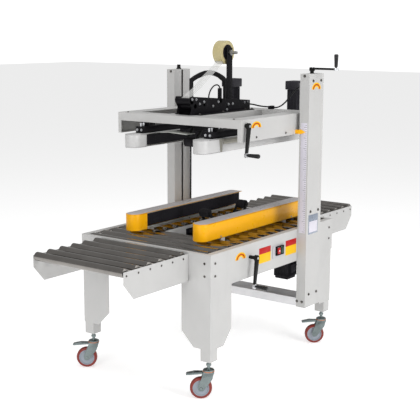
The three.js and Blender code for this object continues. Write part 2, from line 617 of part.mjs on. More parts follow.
// A press arm: a roller in a fork on two cheeks that swing from a pivot bar between the head plates.
function pressArm(rollerX, rollerZ, pivotX, pivotZ) {
  const dx = pivotX - rollerX;
  const dz = pivotZ - rollerZ;
  const length = Math.hypot(dx, dz);
  const nx = (-dz / length) * 9;
  const nz = (dx / length) * 9;
  const cheek = outline([
    [rollerX + nx, rollerZ + nz], [rollerX - nx, rollerZ - nz],
    [pivotX - nx, pivotZ - nz], [pivotX + nx, pivotZ + nz],
  ]);
  const half = PRESS.length / 2;
  return join(
    rodY(PRESS.radius, rollerX, rollerZ, -half + 5, half - 5, 20),
    rodY(6, rollerX, rollerZ, -half, half, 6),
    alongY(cheek, half - 4, half - 1),
    alongY(cheek, -half + 1, -half + 4),
    rodY(9, pivotX, pivotZ, -HEAD.half + HEAD.plate + GAP, HEAD.half - HEAD.plate - GAP, 10),
  );
}
place('upper_front_arm', pressArm(-172, 1056, -100, 1128), 'rubber');
place('upper_rear_arm', pressArm(190, 1056, 110, 1128), 'rubber');

function lowerHead() {
  const { half, plate, tapeRadius, tapeWidth } = HEAD;
  const side = outline([
    [-150, 644], [-150, 600], [-110, 520], [260, 520], [330, 580], [330, 644],
  ]);
  const pieces = [
    alongY(side, half - plate, half),
    alongY(side, -half, -half + plate),
    ...[[-120, 600], [-60, 545], [120, 545], [280, 600], [300, 630], [-130, 630]]
      .map(([x, z]) => rodY(8, x, z, -half, half, 12)),
    // Bearer bars that rest beside the inner rails of the roller banks.
    box(-140, -120, -MAIN.innerRail + GAP, MAIN.innerRail - GAP, 592, 600),
    box(300, 320, -MAIN.innerRail + GAP, MAIN.innerRail - GAP, 592, 600),
    // Hanger and spare roll of tape under the head.
    box(84, 120, -half + plate - WELD, -half + plate + 6, 400, 530),
    rodY(7, 102, 420, -half + plate, tapeWidth / 2 + 6, 16),
    rodY(tapeRadius, 102, 420, -tapeWidth / 2, tapeWidth / 2, 28),
  ];
  return join(...pieces);
}
place('lower_head', lowerHead(), 'blackPaint');
place('lower_front_arm', pressArm(PRESS.frontX, 711, 20, 606), 'rubber');
place('lower_rear_arm', pressArm(PRESS.rearX, 711, 180, 606), 'rubber');

// ---- Cables ---------------------------------------------------------------------------------------
const headCablePath = [
  [249 + GAP, -20, 1207], [272, -38, 1204], [300, -72, 1195], [324, -103, 1191], [322, -140, 1190],
  [308, -175, 1198], [290, -214, 1218], [272, -254, 1250], [256, -294, 1284], [243, -322, 1302],
  [241, -330, 1303],
];
place('head_cable', cable(headCablePath, CORD.cable, 8, 32), 'rubber');

function conduit() {
  const x = 298;
  const face = COLUMN.inner - GAP;
  const path = [[x, 358, TABLE.top + GAP], [x, 358, 700], [x, 358, 800], [x, 358, 900], [x, 358, 1000],
    [x, 358, 1062], [x, 359.2, 1073], [x, 362, 1079], [x, face - 0.8, 1080]];
  return cable(path, CORD.conduit, 8, 20);
}
place('conduit', conduit(), 'rubber');

// ---- Switch plate and buttons on the operator's side ----------------------------------------------
function switchBox() {
  const face = -TABLE.halfWidth - GAP;
  const body = join(
    box(-38, 60, face - 3, face, 536, 594),
    box(-16, 44, face - 12, face - 3 + WELD, 548, 590),
  );
  return cut(body, box(-10, 11, face - 13, face - 5, 554, 584), box(17, 38, face - 13, face - 5, 554, 584));
}
place('switch_box', switchBox(), 'plasticGrey');

function button(x0, x1) {
  const face = -TABLE.halfWidth - GAP;
  return box(x0 + 0.5, x1 - 0.5, face - 15, face - 8.5, 554.5, 583.5);
}
place('stop_button', button(-10, 11), 'plasticRed');
place('start_button', button(17, 38), 'plasticGreen');

export default machine;
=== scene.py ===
"""Carton sealing machine: surface detail, finishes, floor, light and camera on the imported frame.

Sizes are millimetres from the middle of the table, at floor level, unless a name says otherwise.
+X is the way the cartons travel, +Y points away from the operator and +Z points up.
"""
import logging
import math
from dataclasses import dataclass
from enum import Enum
from typing import Iterable, Optional, Sequence

import bmesh
import bpy
from mathutils import Matrix, Vector


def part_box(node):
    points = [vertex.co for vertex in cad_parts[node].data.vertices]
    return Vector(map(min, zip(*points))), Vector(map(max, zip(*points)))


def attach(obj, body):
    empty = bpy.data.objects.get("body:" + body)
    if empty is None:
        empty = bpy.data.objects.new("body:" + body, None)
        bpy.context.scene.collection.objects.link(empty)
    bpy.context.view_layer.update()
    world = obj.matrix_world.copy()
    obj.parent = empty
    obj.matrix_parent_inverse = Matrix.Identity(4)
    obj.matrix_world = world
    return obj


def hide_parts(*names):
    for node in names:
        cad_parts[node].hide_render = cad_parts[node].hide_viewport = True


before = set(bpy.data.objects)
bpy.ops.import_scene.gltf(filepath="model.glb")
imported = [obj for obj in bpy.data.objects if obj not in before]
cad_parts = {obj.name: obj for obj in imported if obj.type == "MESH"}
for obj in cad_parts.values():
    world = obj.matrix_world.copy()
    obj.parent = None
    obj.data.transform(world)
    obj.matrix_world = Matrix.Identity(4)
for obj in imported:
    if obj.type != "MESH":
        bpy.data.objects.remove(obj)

LOG = logging.getLogger("carton_sealer")
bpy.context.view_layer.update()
Pair = tuple[float, float]
Triple = tuple[float, float, float]


def table_middle() -> float:
    """Where the middle of the table lies across the part, in metres."""
    low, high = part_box("table_frame")
    return (low.y + high.y) / 2


TO_PART = Matrix.Translation((0, table_middle(), 0)) @ Matrix.Scale(0.001, 4)
SIDES = {"near": -1, "far": 1}
ENDS = {"infeed": -1, "outfeed": 1}
EXTENSION_ROLLERS = 6
HALF_TAPE = 24


def extension_x(end: int, index: int) -> int:
    """Where an extension roller stands along the table, counted outwards from the table."""
    return end * (547 + 72 * index)


class Axis(Enum):
    """The direction that a rod, a turned shape or a prism runs along."""

    X = "x"
    Y = "y"
    Z = "z"

    def basis(self) -> Matrix:
        """The turn that takes a shape made along Z to this axis, keeping its section upright."""
        columns = {
            Axis.X: ((0, 1, 0), (0, 0, 1), (1, 0, 0)),
            Axis.Y: ((1, 0, 0), (0, 0, 1), (0, 1, 0)),
            Axis.Z: ((1, 0, 0), (0, 1, 0), (0, 0, 1)),
        }[self]
        return Matrix(columns).transposed().to_4x4()


class Pattern(Enum):
    """The relief that a finish carries on top of its grain."""

    NONE = "none"
    RIBS = "ribs"
    RINGS = "rings"
    BRUSHED = "brushed"


# ---- Finishes ----
@dataclass(frozen=True)
class Finish:
    """A procedural finish: mottled colour, smears, uneven gloss, grain and an optional relief.

    Args:
        name: What the finish is called.
        slot: The record's material slot it stands for.
        colour: Base colour, linear.
        rough: Middle of the roughness range.
        metal: Metallic value.
        mottle: How far the colour drifts over a hand's width.
        soil: How much of the surface carries a darker smear.
        grain: Size of the fine bumps in millimetres.
        depth: Height of the fine bumps in millimetres.
        coat: Clear coat weight.
        pattern: Relief on top of the grain.
        pitch: Spacing of the relief in millimetres.
        along: Direction in which the relief repeats.
        alpha: Opacity.
        shine: Specular level of the uncoated surface.
    """

    name: str
    slot: str
    colour: Triple
    rough: float = 0.5
    metal: float = 0.0
    mottle: float = 0.05
    soil: float = 0.1
    grain: float = 1.6
    depth: float = 0.03
    coat: float = 0.0
    pattern: Pattern = Pattern.NONE
    pitch: float = 6.0
    along: Axis = Axis.X
    alpha: float = 1.0
    shine: float = 0.5

    def build(self) -> bpy.types.Material:
        """Makes the material, or returns it if it is made already.

        Returns:
            The Blender material.
        """
        if self.name in bpy.data.materials:
            return bpy.data.materials[self.name]
        material = bpy.data.materials.new(self.name)
        material.use_nodes = True
        nodes, link = material.node_tree.nodes, material.node_tree.links.new
        shader = nodes["Principled BSDF"]
        shader.inputs["Metallic"].default_value = self.metal
        shader.inputs["Coat Weight"].default_value = self.coat
        shader.inputs["Alpha"].default_value = self.alpha
        shader.inputs["Specular IOR Level"].default_value = self.shine
        place = nodes.new("ShaderNodeTexCoord").outputs["Object"]

        def noise(scale: float, detail: float, stretch: Triple = (1, 1, 1)):
            """A noise field of that many cells per metre, drawn out along the given axes."""
            mapping = nodes.new("ShaderNodeMapping")
            mapping.inputs["Scale"].default_value = stretch
            field = nodes.new("ShaderNodeTexNoise")
            field.inputs["Scale"].default_value = scale
            field.inputs["Detail"].default_value = detail
            link(place, mapping.inputs["Vector"])
            link(mapping.outputs["Vector"], field.inputs["Vector"])
            return field.outputs["Fac"]

        def ranged(value, low: float, high: float, to_low: float, to_high: float):
            """The value carried from one range to another, held at its ends."""
            node = nodes.new("ShaderNodeMapRange")
            for key, number in zip(("From Min", "From Max", "To Min", "To Max"),
                                   (low, high, to_low, to_high)):
                node.inputs[key].default_value = number
            link(value, node.inputs["Value"])
            return node.outputs["Result"]

        def mixed(amount, first: Sequence[float], second: Triple):
            """One colour turning into another."""
            node = nodes.new("ShaderNodeMix")
            node.data_type = "RGBA"
            if hasattr(first, "is_linked"):
                link(first, node.inputs["A"])
            else:
                node.inputs["A"].default_value = (*first, 1)
            node.inputs["B"].default_value = (*second, 1)
            link(amount, node.inputs["Factor"])
            return node.outputs["Result"]

        lighter = tuple(min(1.0, c * (1 + self.mottle)) for c in self.colour)
        darker = tuple(c * (1 - self.mottle) for c in self.colour)
        soiled = tuple(c * 0.62 + 0.012 for c in self.colour)
        drift = mixed(ranged(noise(9, 4), 0.32, 0.68, 0, 1), darker, lighter)
        smear = ranged(noise(22, 8, (1, 1, 0.35)), 0.56, 0.76, 0, self.soil)
        link(mixed(smear, drift, soiled), shader.inputs["Base Color"])
        gloss = ranged(noise(38, 6), 0.3, 0.7, max(0.05, self.rough - 0.09), min(1.0, self.rough + 0.09))
        link(gloss, shader.inputs["Roughness"])

        stretch = {Axis.X: (0.04, 1, 1), Axis.Y: (1, 0.04, 1), Axis.Z: (1, 1, 0.04)}[self.along]
        grain = noise(1000 / self.grain, 3, stretch if self.pattern is Pattern.BRUSHED else (1, 1, 1))
        bump = nodes.new("ShaderNodeBump")
        bump.inputs["Strength"].default_value = 0.6
        bump.inputs["Distance"].default_value = self.depth / 1000
        link(grain, bump.inputs["Height"])
        if self.pattern in (Pattern.RIBS, Pattern.RINGS):
            wave = nodes.new("ShaderNodeTexWave")
            wave.wave_type = "BANDS" if self.pattern is Pattern.RIBS else "RINGS"
            if self.pattern is Pattern.RIBS:
                wave.bands_direction = self.along.name
            else:
                wave.rings_direction = self.along.name
            wave.inputs["Scale"].default_value = 1000 / self.pitch / 20 * math.pi
            wave.inputs["Distortion"].default_value = 0.15
            link(place, wave.inputs["Vector"])
            relief = nodes.new("ShaderNodeBump")
            relief.inputs["Strength"].default_value = 0.7
            relief.inputs["Distance"].default_value = 0.0006
            link(wave.outputs["Fac"], relief.inputs["Height"])
            link(bump.outputs["Normal"], relief.inputs["Normal"])
            bump = relief
        link(bump.outputs["Normal"], shader.inputs["Normal"])
        return material


PAINT = Finish("light_grey_powder_coat", "painted_sheet", (0.49, 0.487, 0.48), 0.42, 0.0, 0.02, 0.10, 1.8,
               0.035)
COVER = Finish("white_cover_paint", "painted_sheet", (0.50, 0.497, 0.495), 0.40, 0.0, 0.02, 0.14, 1.8, 0.03)
YELLOW = Finish("yellow_guard_paint", "guard_yellow", (1.0, 0.47, 0.001), 0.34, 0.0, 0.02, 0.08, 1.6, 0.03,
                shine=0.3)
DECK = Finish("pinkish_grey_slide_plate", "painted_sheet", (0.52, 0.49, 0.49), 0.35, 0.1, 0.05, 0.25)
ROLLER = Finish("polished_roller_steel", "roller_steel", (0.27, 0.255, 0.24), 0.16, 1.0, 0.12, 0.35, 0.5,
                0.01, 0.0, Pattern.BRUSHED, 6, Axis.Y)
# Sheet paint lightened far past the plain paint colour: painted light for the cross channel, which sits in
# shade under the table.
PAINT_WITH_PAINTED_LIGHT = Finish("galvanised_sheet", "painted_sheet", (0.84, 0.84, 0.86), 0.40, 0.0, 0.05, 0.15)
STEEL = Finish("turned_steel", "screw_steel", (0.44, 0.44, 0.43), 0.28, 1.0, 0.06, 0.2, 0.6, 0.01)
ZINC = Finish("bright_zinc_plate", "zinc_plate", (0.58, 0.59, 0.61), 0.32, 1.0, 0.10, 0.3, 1.0, 0.02)
ALUMINIUM = Finish("brushed_aluminium", "screw_steel", (0.50, 0.49, 0.45), 0.36, 0.9, 0.05, 0.2, 0.4, 0.01,
                   0.0, Pattern.BRUSHED, 6, Axis.X)
BELT = Finish("ribbed_black_belt", "drive_belt", (0.014, 0.013, 0.016), 0.80, 0.0, 0.2, 0.15, 0.8, 0.05,
              0.0, Pattern.RIBS, 8, Axis.X, shine=0.12)
RUBBER = Finish("black_press_rubber", "press_rubber", (0.011, 0.010, 0.012), 0.7, 0.0, 0.2, 0.2, 0.7, 0.04,
                shine=0.15)
HEAD_PAINT = Finish("satin_black_head_paint", "head_black", (0.006, 0.0055, 0.007), 0.45, 0.0, 0.2, 0.3, 1.4,
                    0.03, shine=0.12)
MOTOR_PAINT = Finish("black_motor_enamel", "motor_black", (0.026, 0.025, 0.031), 0.45, 0.0, 0.2, 0.3, 1.6,
                     0.06, shine=0.2)
CRANK_BLACK = Finish("black_oxide", "crank_black", (0.009, 0.009, 0.009), 0.45, 0.0, 0.2, 0.3, 1.0, 0.03,
                     shine=0.1)
GRIP = Finish("black_grip_plastic", "crank_black", (0.010, 0.010, 0.011), 0.30, 0.0, 0.1, 0.1, 0.8, 0.02,
              shine=0.3)
TAPE = Finish("wound_tape", "packing_tape", (0.50, 0.43, 0.22), 0.22, 0.0, 0.08, 0.2, 0.5, 0.01, 0.4,
              Pattern.RINGS, 2.2, Axis.Y)
CARD = Finish("tape_core_card", "packing_tape", (0.36, 0.27, 0.17), 0.8, 0.0, 0.08, 0.1, 0.9, 0.06)
WEB = Finish("clear_tape_web", "packing_tape", (0.74, 0.74, 0.73), 0.14, 0.0, 0.04, 0.1, 1.0, 0.005, 0.2,
             alpha=0.34)
TREAD = Finish("red_polyurethane_tread", "red_polyurethane", (0.20, 0.016, 0.009), 0.38, 0.0, 0.1, 0.3, 0.9,
               0.03)
HUB = Finish("blue_grey_wheel_core", "red_polyurethane", (0.30, 0.33, 0.38), 0.45, 0.0, 0.06, 0.3)
FORK = Finish("blue_zinc_pressing", "zinc_plate", (0.20, 0.235, 0.235), 0.30, 1.0, 0.14, 0.4, 1.0, 0.03)
DUST_RING = Finish("orange_dust_ring", "red_polyurethane", (0.55, 0.16, 0.05), 0.4, 0.0, 0.06, 0.2)
BODY_GREY = Finish("satin_grey_plastic", "switch_grey", (0.46, 0.45, 0.47), 0.46, 0.0, 0.04, 0.15, 0.8, 0.03)
# Zinc darkened well below plain zinc: painted shade that stands in for the shaded rims round the bolt heads.
SHADE_PAINTED_ZINC = Finish("dark_zinc_heads", "zinc_plate", (0.15, 0.14, 0.13), 0.3, 1.0, 0.10, 0.3, 1.0, 0.02)
RAIL_GREY = Finish("olive_grey_extrusion", "painted_sheet", (0.27, 0.26, 0.225), 0.36, 0.5, 0.05, 0.2, 0.4,
                   0.01, 0.0, Pattern.BRUSHED, 6, Axis.X)
GUARD_GREY = Finish("pale_zinc_sheet", "zinc_plate", (0.50, 0.51, 0.48), 0.35, 0.4, 0.04, 0.2)
STOP_RED = Finish("red_button_plastic", "button_red", (0.46, 0.010, 0.010), 0.3, 0.0, 0.05, 0.1, shine=0.3)
START_GREEN = Finish("green_button_plastic", "button_green", (0.010, 0.05, 0.028), 0.3, 0.0, 0.08, 0.1,
                     shine=0.3)
SHEATH = Finish("black_cable_sheath", "cable_black", (0.010, 0.010, 0.011), 0.5, 0.0, 0.15, 0.15, 0.8, 0.02,
                shine=0.2)
DECAL_YELLOW = Finish("yellow_decal_film", "guard_yellow", (0.84, 0.48, 0.004), 0.4, shine=0.2)
DECAL_RED = Finish("red_decal_film", "button_red", (0.44, 0.006, 0.006), 0.4, shine=0.2)
DECAL_ORANGE = Finish("orange_decal_film", "button_red", (0.42, 0.045, 0.003), 0.4, shine=0.2)
PLATE_BLUE = Finish("blue_grey_plate", "switch_grey", (0.28, 0.32, 0.39), 0.3, 0.5, 0.04, 0.15)
RULER = Finish("lilac_ruler_strip", "switch_grey", (0.62, 0.60, 0.67), 0.34)
INK = Finish("black_print", "head_black", (0.02, 0.02, 0.02), 0.5)


# ---- Solid helpers ----
def draw_out(part: bmesh.types.BMesh, faces: Sequence[bmesh.types.BMFace], height: float) -> None:
    """Draws flat faces out along Z into a solid of that height."""
    grown = bmesh.ops.extrude_face_region(part, geom=faces)["geom"]
    corners = [v for v in grown if isinstance(v, bmesh.types.BMVert)]
    bmesh.ops.translate(part, vec=(0, 0, height), verts=corners)


def as_object(name: str, part: bmesh.types.BMesh, finish: Finish) -> bpy.types.Object:
    """Turns a mesh under construction into an object that is smooth between its sharp edges.

    Args:
        name: The object's name.
        part: The mesh, which is freed.
        finish: What it is made of.

    Returns:
        The object, at the origin.
    """
    data = bpy.data.meshes.new(name)
    part.to_mesh(data)
    part.free()
    data.shade_smooth()
    data.set_sharp_from_angle(angle=math.radians(32))
    data.materials.append(finish.build())
    piece = bpy.data.objects.new(name, data)
    bpy.context.scene.collection.objects.link(piece)
    return piece


class Shape:
    """One piece under construction, made of simple solids that are shaped with mesh operators."""

    def __init__(self) -> None:
        """Starts an empty piece."""
        self.mesh = bmesh.new()

    def take(self, part: bmesh.types.BMesh, matrix: Optional[Matrix] = None) -> "Shape":
        """Moves a finished solid into the piece.

        Args:
            part: The solid, which is freed.
            matrix: Where to put it.

        Returns:
            The piece.
        """
        if matrix is not None:
            bmesh.ops.transform(part, matrix=matrix, verts=part.verts)
        bmesh.ops.remove_doubles(part, verts=part.verts, dist=1e-4)
        bmesh.ops.recalc_face_normals(part, faces=part.faces)
        carrier = bpy.data.meshes.new("carrier")
        part.to_mesh(carrier)
        part.free()
        self.mesh.from_mesh(carrier)
        bpy.data.meshes.remove(carrier)
        return self

    @staticmethod
    def _round_edges(part: bmesh.types.BMesh, width: float, segments: int) -> None:
        """Rounds the edges of a solid that turn by more than 25 degrees."""
        if width <= 0:
            return
        sharp = [e for e in part.edges if len(e.link_faces) == 2 and e.calc_face_angle(0) > math.radians(25)]
        bmesh.ops.bevel(part, geom=sharp, offset=width, offset_type="OFFSET", segments=segments, profile=0.5,
                        affect="EDGES", material=-1, clamp_overlap=True)

    def box(self, x: Pair, y: Pair, z: Pair, edge: float = 0.8, segments: int = 2) -> "Shape":
        """Adds a block with rounded edges between the given limits."""
        part = bmesh.new()
        bmesh.ops.create_cube(part, size=1)
        size = Matrix.Diagonal((abs(x[1] - x[0]), abs(y[1] - y[0]), abs(z[1] - z[0]), 1))
        middle = Matrix.Translation((sum(x) / 2, sum(y) / 2, sum(z) / 2))
        bmesh.ops.transform(part, matrix=middle @ size, verts=part.verts)
        self._round_edges(part, edge, segments)
        return self.take(part)

    def prism(self, outline: Iterable[Pair], axis: Axis, low: float, high: float,
              edge: float = 0.6) -> "Shape":
        """Adds a flat outline drawn out along an axis.

        Args:
            outline: Corners, as (x, y) along Z, (x, z) along Y or (y, z) along X.
            axis: The direction it is drawn out in.
            low: Where it starts.
            high: Where it ends.
            edge: Radius of its edges.

        Returns:
            The piece.
        """
        part = bmesh.new()
        face = part.faces.new([part.verts.new((a, b, low)) for a, b in outline])
        draw_out(part, [face], high - low)
        self._round_edges(part, edge, 2)
        return self.take(part, axis.basis())

    def turned(self, profile: Sequence[Pair], axis: Axis, centre: Pair, steps: int = 40) -> "Shape":
        """Adds a shape turned on a lathe.

        Args:
            profile: (radius, place along the axis) from the axis round to the axis, or a closed ring.
            axis: The lathe's axis.
            centre: The axis's other two coordinates, in the order that prism uses.
            steps: Flats in a full turn.

        Returns:
            The piece.
        """
        part = bmesh.new()
        verts = [part.verts.new((r, 0, a)) for r, a in profile]
        edges = [part.edges.new(pair) for pair in zip(verts, verts[1:])]
        if profile[0][0] > 0 and profile[-1][0] > 0:
            edges.append(part.edges.new((verts[-1], verts[0])))
        bmesh.ops.spin(part, geom=verts + edges, cent=(0, 0, 0), axis=(0, 0, 1), angle=2 * math.pi,
                       steps=steps, use_merge=True)
        return self.take(part, axis.basis() @ Matrix.Translation((centre[0], centre[1], 0)))

    def rod(self, radius: float, axis: Axis, centre: Pair, span: Pair, edge: float = 0.8,
            steps: int = 32) -> "Shape":
        """Adds a round bar with broken edges."""
        low, high = min(span), max(span)
        e = min(edge, radius * 0.4, (high - low) * 0.4)
        profile = [(0, low), (radius - e, low), (radius, low + e), (radius, high - e), (radius - e, high),
                   (0, high)]
        return self.turned(profile, axis, centre, steps)

    def bolt(self, at: Triple, axis: Axis, out: int, size: float = 5.0) -> "Shape":
        """Adds a hexagon head on its washer, standing out of a face along +1 or -1 of the axis."""
        x, y, z = at
        centre, base = {Axis.X: ((y, z), x), Axis.Y: ((x, z), y), Axis.Z: ((x, y), z)}[axis]
        self.rod(size * 1.25, axis, centre, (base, base + out * size * 0.22), 0.2, 20)
        return self.rod(size * 0.9, axis, centre, (base + out * size * 0.2, base + out * size * 0.85), 0.5, 6)

    def tube(self, points: Sequence[Triple], radius: float, sides: int = 12, steps: int = 10) -> "Shape":
        """Adds a round cable through the given points.

        Args:
            points: The route.
            radius: Of the cable.
            sides: Flats round the cable.
            steps: Rings between two points.

        Returns:
            The piece.
        """
        curve = bpy.data.curves.new("route", "CURVE")
        curve.dimensions = "3D"
        curve.bevel_depth = radius
        curve.bevel_resolution = max(1, sides // 4 - 1)
        curve.use_fill_caps = True
        curve.resolution_u = steps
        spline = curve.splines.new("BEZIER")
        spline.bezier_points.add(len(points) - 1)
        for point, place in zip(spline.bezier_points, points):
            point.co = place
            point.handle_left_type = point.handle_right_type = "AUTO"
        holder = bpy.data.objects.new("route", curve)
        bpy.context.scene.collection.objects.link(holder)
        part = bmesh.new()
        evaluated = holder.evaluated_get(bpy.context.evaluated_depsgraph_get())
        part.from_mesh(evaluated.to_mesh())
        evaluated.to_mesh_clear()
        bpy.data.objects.remove(holder)
        bpy.data.curves.remove(curve)
        return self.take(part)

    def moved(self, matrix: Matrix) -> "Shape":
        """Carries the whole piece through a matrix, and turns it right side out if that mirrors it."""
        bmesh.ops.transform(self.mesh, matrix=matrix, verts=self.mesh.verts)
        if matrix.determinant() < 0:
            bmesh.ops.reverse_faces(self.mesh, faces=self.mesh.faces)
        return self

    def make(self, name: str, body: str, finish: Finish, replaces: Sequence[str] = ()) -> bpy.types.Object:
        """Finishes the piece as an object that rides on a body.

        Args:
            name: The piece's name.
            body: The body that carries it.
            finish: What it is made of.
            replaces: CAD nodes that it stands for.

        Returns:
            The object, at the origin.
        """
        bmesh.ops.transform(self.mesh, matrix=TO_PART, verts=self.mesh.verts)
        piece = as_object(name, self.mesh, finish)
        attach(piece, body)
        if replaces:
            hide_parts(*replaces)
        LOG.info("%s on %s, %s", name, body, finish.name)
        return piece


def mirror(side: int) -> Matrix:
    """The matrix that carries a far-side shape to the side that +1 or -1 names."""
    return Matrix.Diagonal((1, side, 1, 1))


def dress(node: str, finish: Finish) -> None:
    """Gives a CAD node its finish."""
    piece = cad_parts[node]
    piece.data.materials.clear()
    piece.data.materials.append(finish.build())


def soften(node: str, body: str, finish: Finish, width: float = 0.9) -> bpy.types.Object:
    """Puts a copy of a folded or welded node in its place, with its edges rounded.

    Args:
        node: The CAD node.
        body: The body that carries it.
        finish: What it is made of.
        width: Radius of its edges.

    Returns:
        The copy.
    """
    part = bmesh.new()
    part.from_mesh(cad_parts[node].data)
    bmesh.ops.remove_doubles(part, verts=part.verts, dist=2e-5)
    bmesh.ops.dissolve_limit(part, angle_limit=math.radians(1), verts=part.verts, edges=part.edges)
    piece = as_object(node + "_folded", part, finish)
    edges = piece.modifiers.new("rounded edges", "BEVEL")
    edges.width = width / 1000
    edges.segments = 2
    edges.limit_method = "ANGLE"
    edges.angle_limit = math.radians(30)
    edges.use_clamp_overlap = True
    edges.harden_normals = True
    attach(piece, body)
    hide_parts(node)
    LOG.info("%s on %s, %s", piece.name, body, finish.name)
    return piece


def round_end(x: float, y: float, radius: float, out: int = -1, steps: int = 20) -> list[Pair]:
    """Corners round an end that looks along -X, or along +X where out is 1, in plan."""
    turn = [math.pi * i / steps for i in range(steps + 1)]
    return [(x + out * radius * math.sin(a), y - out * radius * math.cos(a)) for a in turn]


def stadium(x: Pair, y: float, radius: float) -> list[Pair]:
    """Corners of a shape with two round ends, in plan."""
    return round_end(x[1], y, radius, 1, 18) + round_end(x[0], y, radius, -1, 18)


# ---- Table, legs and extension tables ----
@dataclass
class Table:
    """The roller table's folded plates with their bolts, decals and label blocks."""

    half_width: float = 367.0
    half_length: float = 510.0
    extension_half: float = 251.5
    axle_height: float = 615.0

    def build(self) -> None:
        """Makes the plates, bolts and decals."""
        soften("table_frame", "base", PAINT)
        # The cross channel gets lightened paint: painted light that brightens it in the shade under the
        # table.
        soften("cross_channel", "base", PAINT_WITH_PAINTED_LIGHT)
        for end in ENDS:
            soften(f"{end}_extension_frame", "base", PAINT)
            for side in SIDES:
                soften(f"leg_{end}_{side}", "base", PAINT)
        self.bolts()
        self.decals()

    def bolts(self) -> None:
        """Makes the roller axle ends and the plate bolts."""
        bolts = Shape()
        for end in ENDS.values():
            for side in SIDES.values():
                for i in range(EXTENSION_ROLLERS):
                    bolts.bolt((extension_x(end, i), side * self.extension_half, self.axle_height), Axis.Y,
                               side, 3.6)
                for z in (600, 545):
                    bolts.bolt((end * self.half_length, side * 335, z), Axis.X, end, 4.5)
                    bolts.bolt((end * 478, side * self.half_width, z), Axis.Y, side, 4.5)
        # These bolt heads carry painted shade: their zinc colour is darkened.
        bolts.make("table_bolts", "base", SHADE_PAINTED_ZINC)

    def decals(self) -> None:
        """Makes the arc decal and the two plain label blocks on the operator's side."""
        y = -self.half_width
        arc_decal((-291, 598), y, 80, 31, "table", "base")
        for name, x0, z0 in (("left", -146, 533), ("right", 75, 530)):
            x, z1, z2 = (x0, x0 + 94), z0 + 42, z0 + 70
            Shape().box(x, (y - 0.5, y), (z0, z1), 0.1).make(f"label_{name}_field", "base", DECAL_YELLOW)
            Shape().box(x, (y - 0.6, y), (z1, z2), 0.1).make(f"label_{name}_head", "base", DECAL_RED)


def arc_decal(centre: Pair, y: float, width: float, height: float, name: str, body: str) -> None:
    """Makes a generic arch decal, yellow with a red band in it, stuck on a face that looks along -Y."""
    x, z = centre
    base = z - height / 2

    def ring(outer: float, inner: float, steps: int = 24) -> list[Pair]:
        """Points round a half ring between two shares of the decal's size."""
        turn = [math.pi * i / steps for i in range(steps + 1)]
        return [(x + share * width / 2 * math.cos(a), base + share * height * math.sin(a))
                for share, run in ((outer, turn), (inner, turn[::-1])) for a in run]

    Shape().prism(ring(1.0, 0.38), Axis.Y, y - 0.5, y, 0).make(f"{name}_decal_field", body, DECAL_YELLOW)
    Shape().prism(ring(0.80, 0.58), Axis.Y, y - 0.9, y - 0.4, 0).make(f"{name}_decal_arc", body, DECAL_ORANGE)


# ---- Rollers ----
@dataclass
class Rollers:
    """Every roller of the table: a steel tube with rolled-in ends on an axle."""

    radius: float = 19.0
    height: float = 625.0
    pitch: float = 73.0
    first: float = -474.5
    count: int = 14
    split: tuple[int, int] = (4, 11)

    def profile(self, low: float, high: float) -> list[Pair]:
        """The lathe profile of one roller between two bearing faces."""
        r = self.radius
        return [(0, low - 3), (6, low - 3), (6, low + 1.5), (r - 3.5, low + 1.5), (r - 2.5, low),
                (r - 0.8, low), (r, low + 1), (r, high - 1), (r - 0.8, high), (r - 2.5, high),
                (r - 3.5, high - 1.5), (6, high - 1.5), (6, high + 3), (0, high + 3)]

    def build(self) -> None:
        """Makes the extension rollers and the two main banks."""
        for end, sign in ENDS.items():
            for i in range(EXTENSION_ROLLERS):
                node = f"{end}_roller_{i + 1}"
                tube = Shape().turned(self.profile(-245, 245), Axis.Y, (extension_x(sign, i), self.height))
                tube.make(node + "_tube", node, ROLLER, [node])
        for side, sign in SIDES.items():
            self.bank(side, sign)

    def bank(self, side: str, sign: int) -> None:
        """Makes one bank of main rollers with its rails and ties."""
        rollers, rails = Shape(), Shape()
        for i in range(self.count):
            x = self.first + self.pitch * i
            if self.split[0] <= i <= self.split[1]:
                ends = sorted((sign * 127, sign * 329))
            elif sign > 0:
                ends = [-329, 329]
            else:
                continue
            rollers.turned(self.profile(*ends), Axis.Y, (x, self.height))
        rollers.make(f"main_rollers_{side}_tubes", "base", ROLLER, [f"main_rollers_{side}"])
        rails.box((-485, 485), (sign * 332, sign * 336), (592, 632))
        rails.box((-230, 380), (sign * 120, sign * 124), (592, 632))
        for x in (-192, 330):
            rails.box((x, x + 4), (sign * 122, sign * 333), (592, 604))
        rails.make(f"main_rollers_{side}_rails", "base", PAINT)


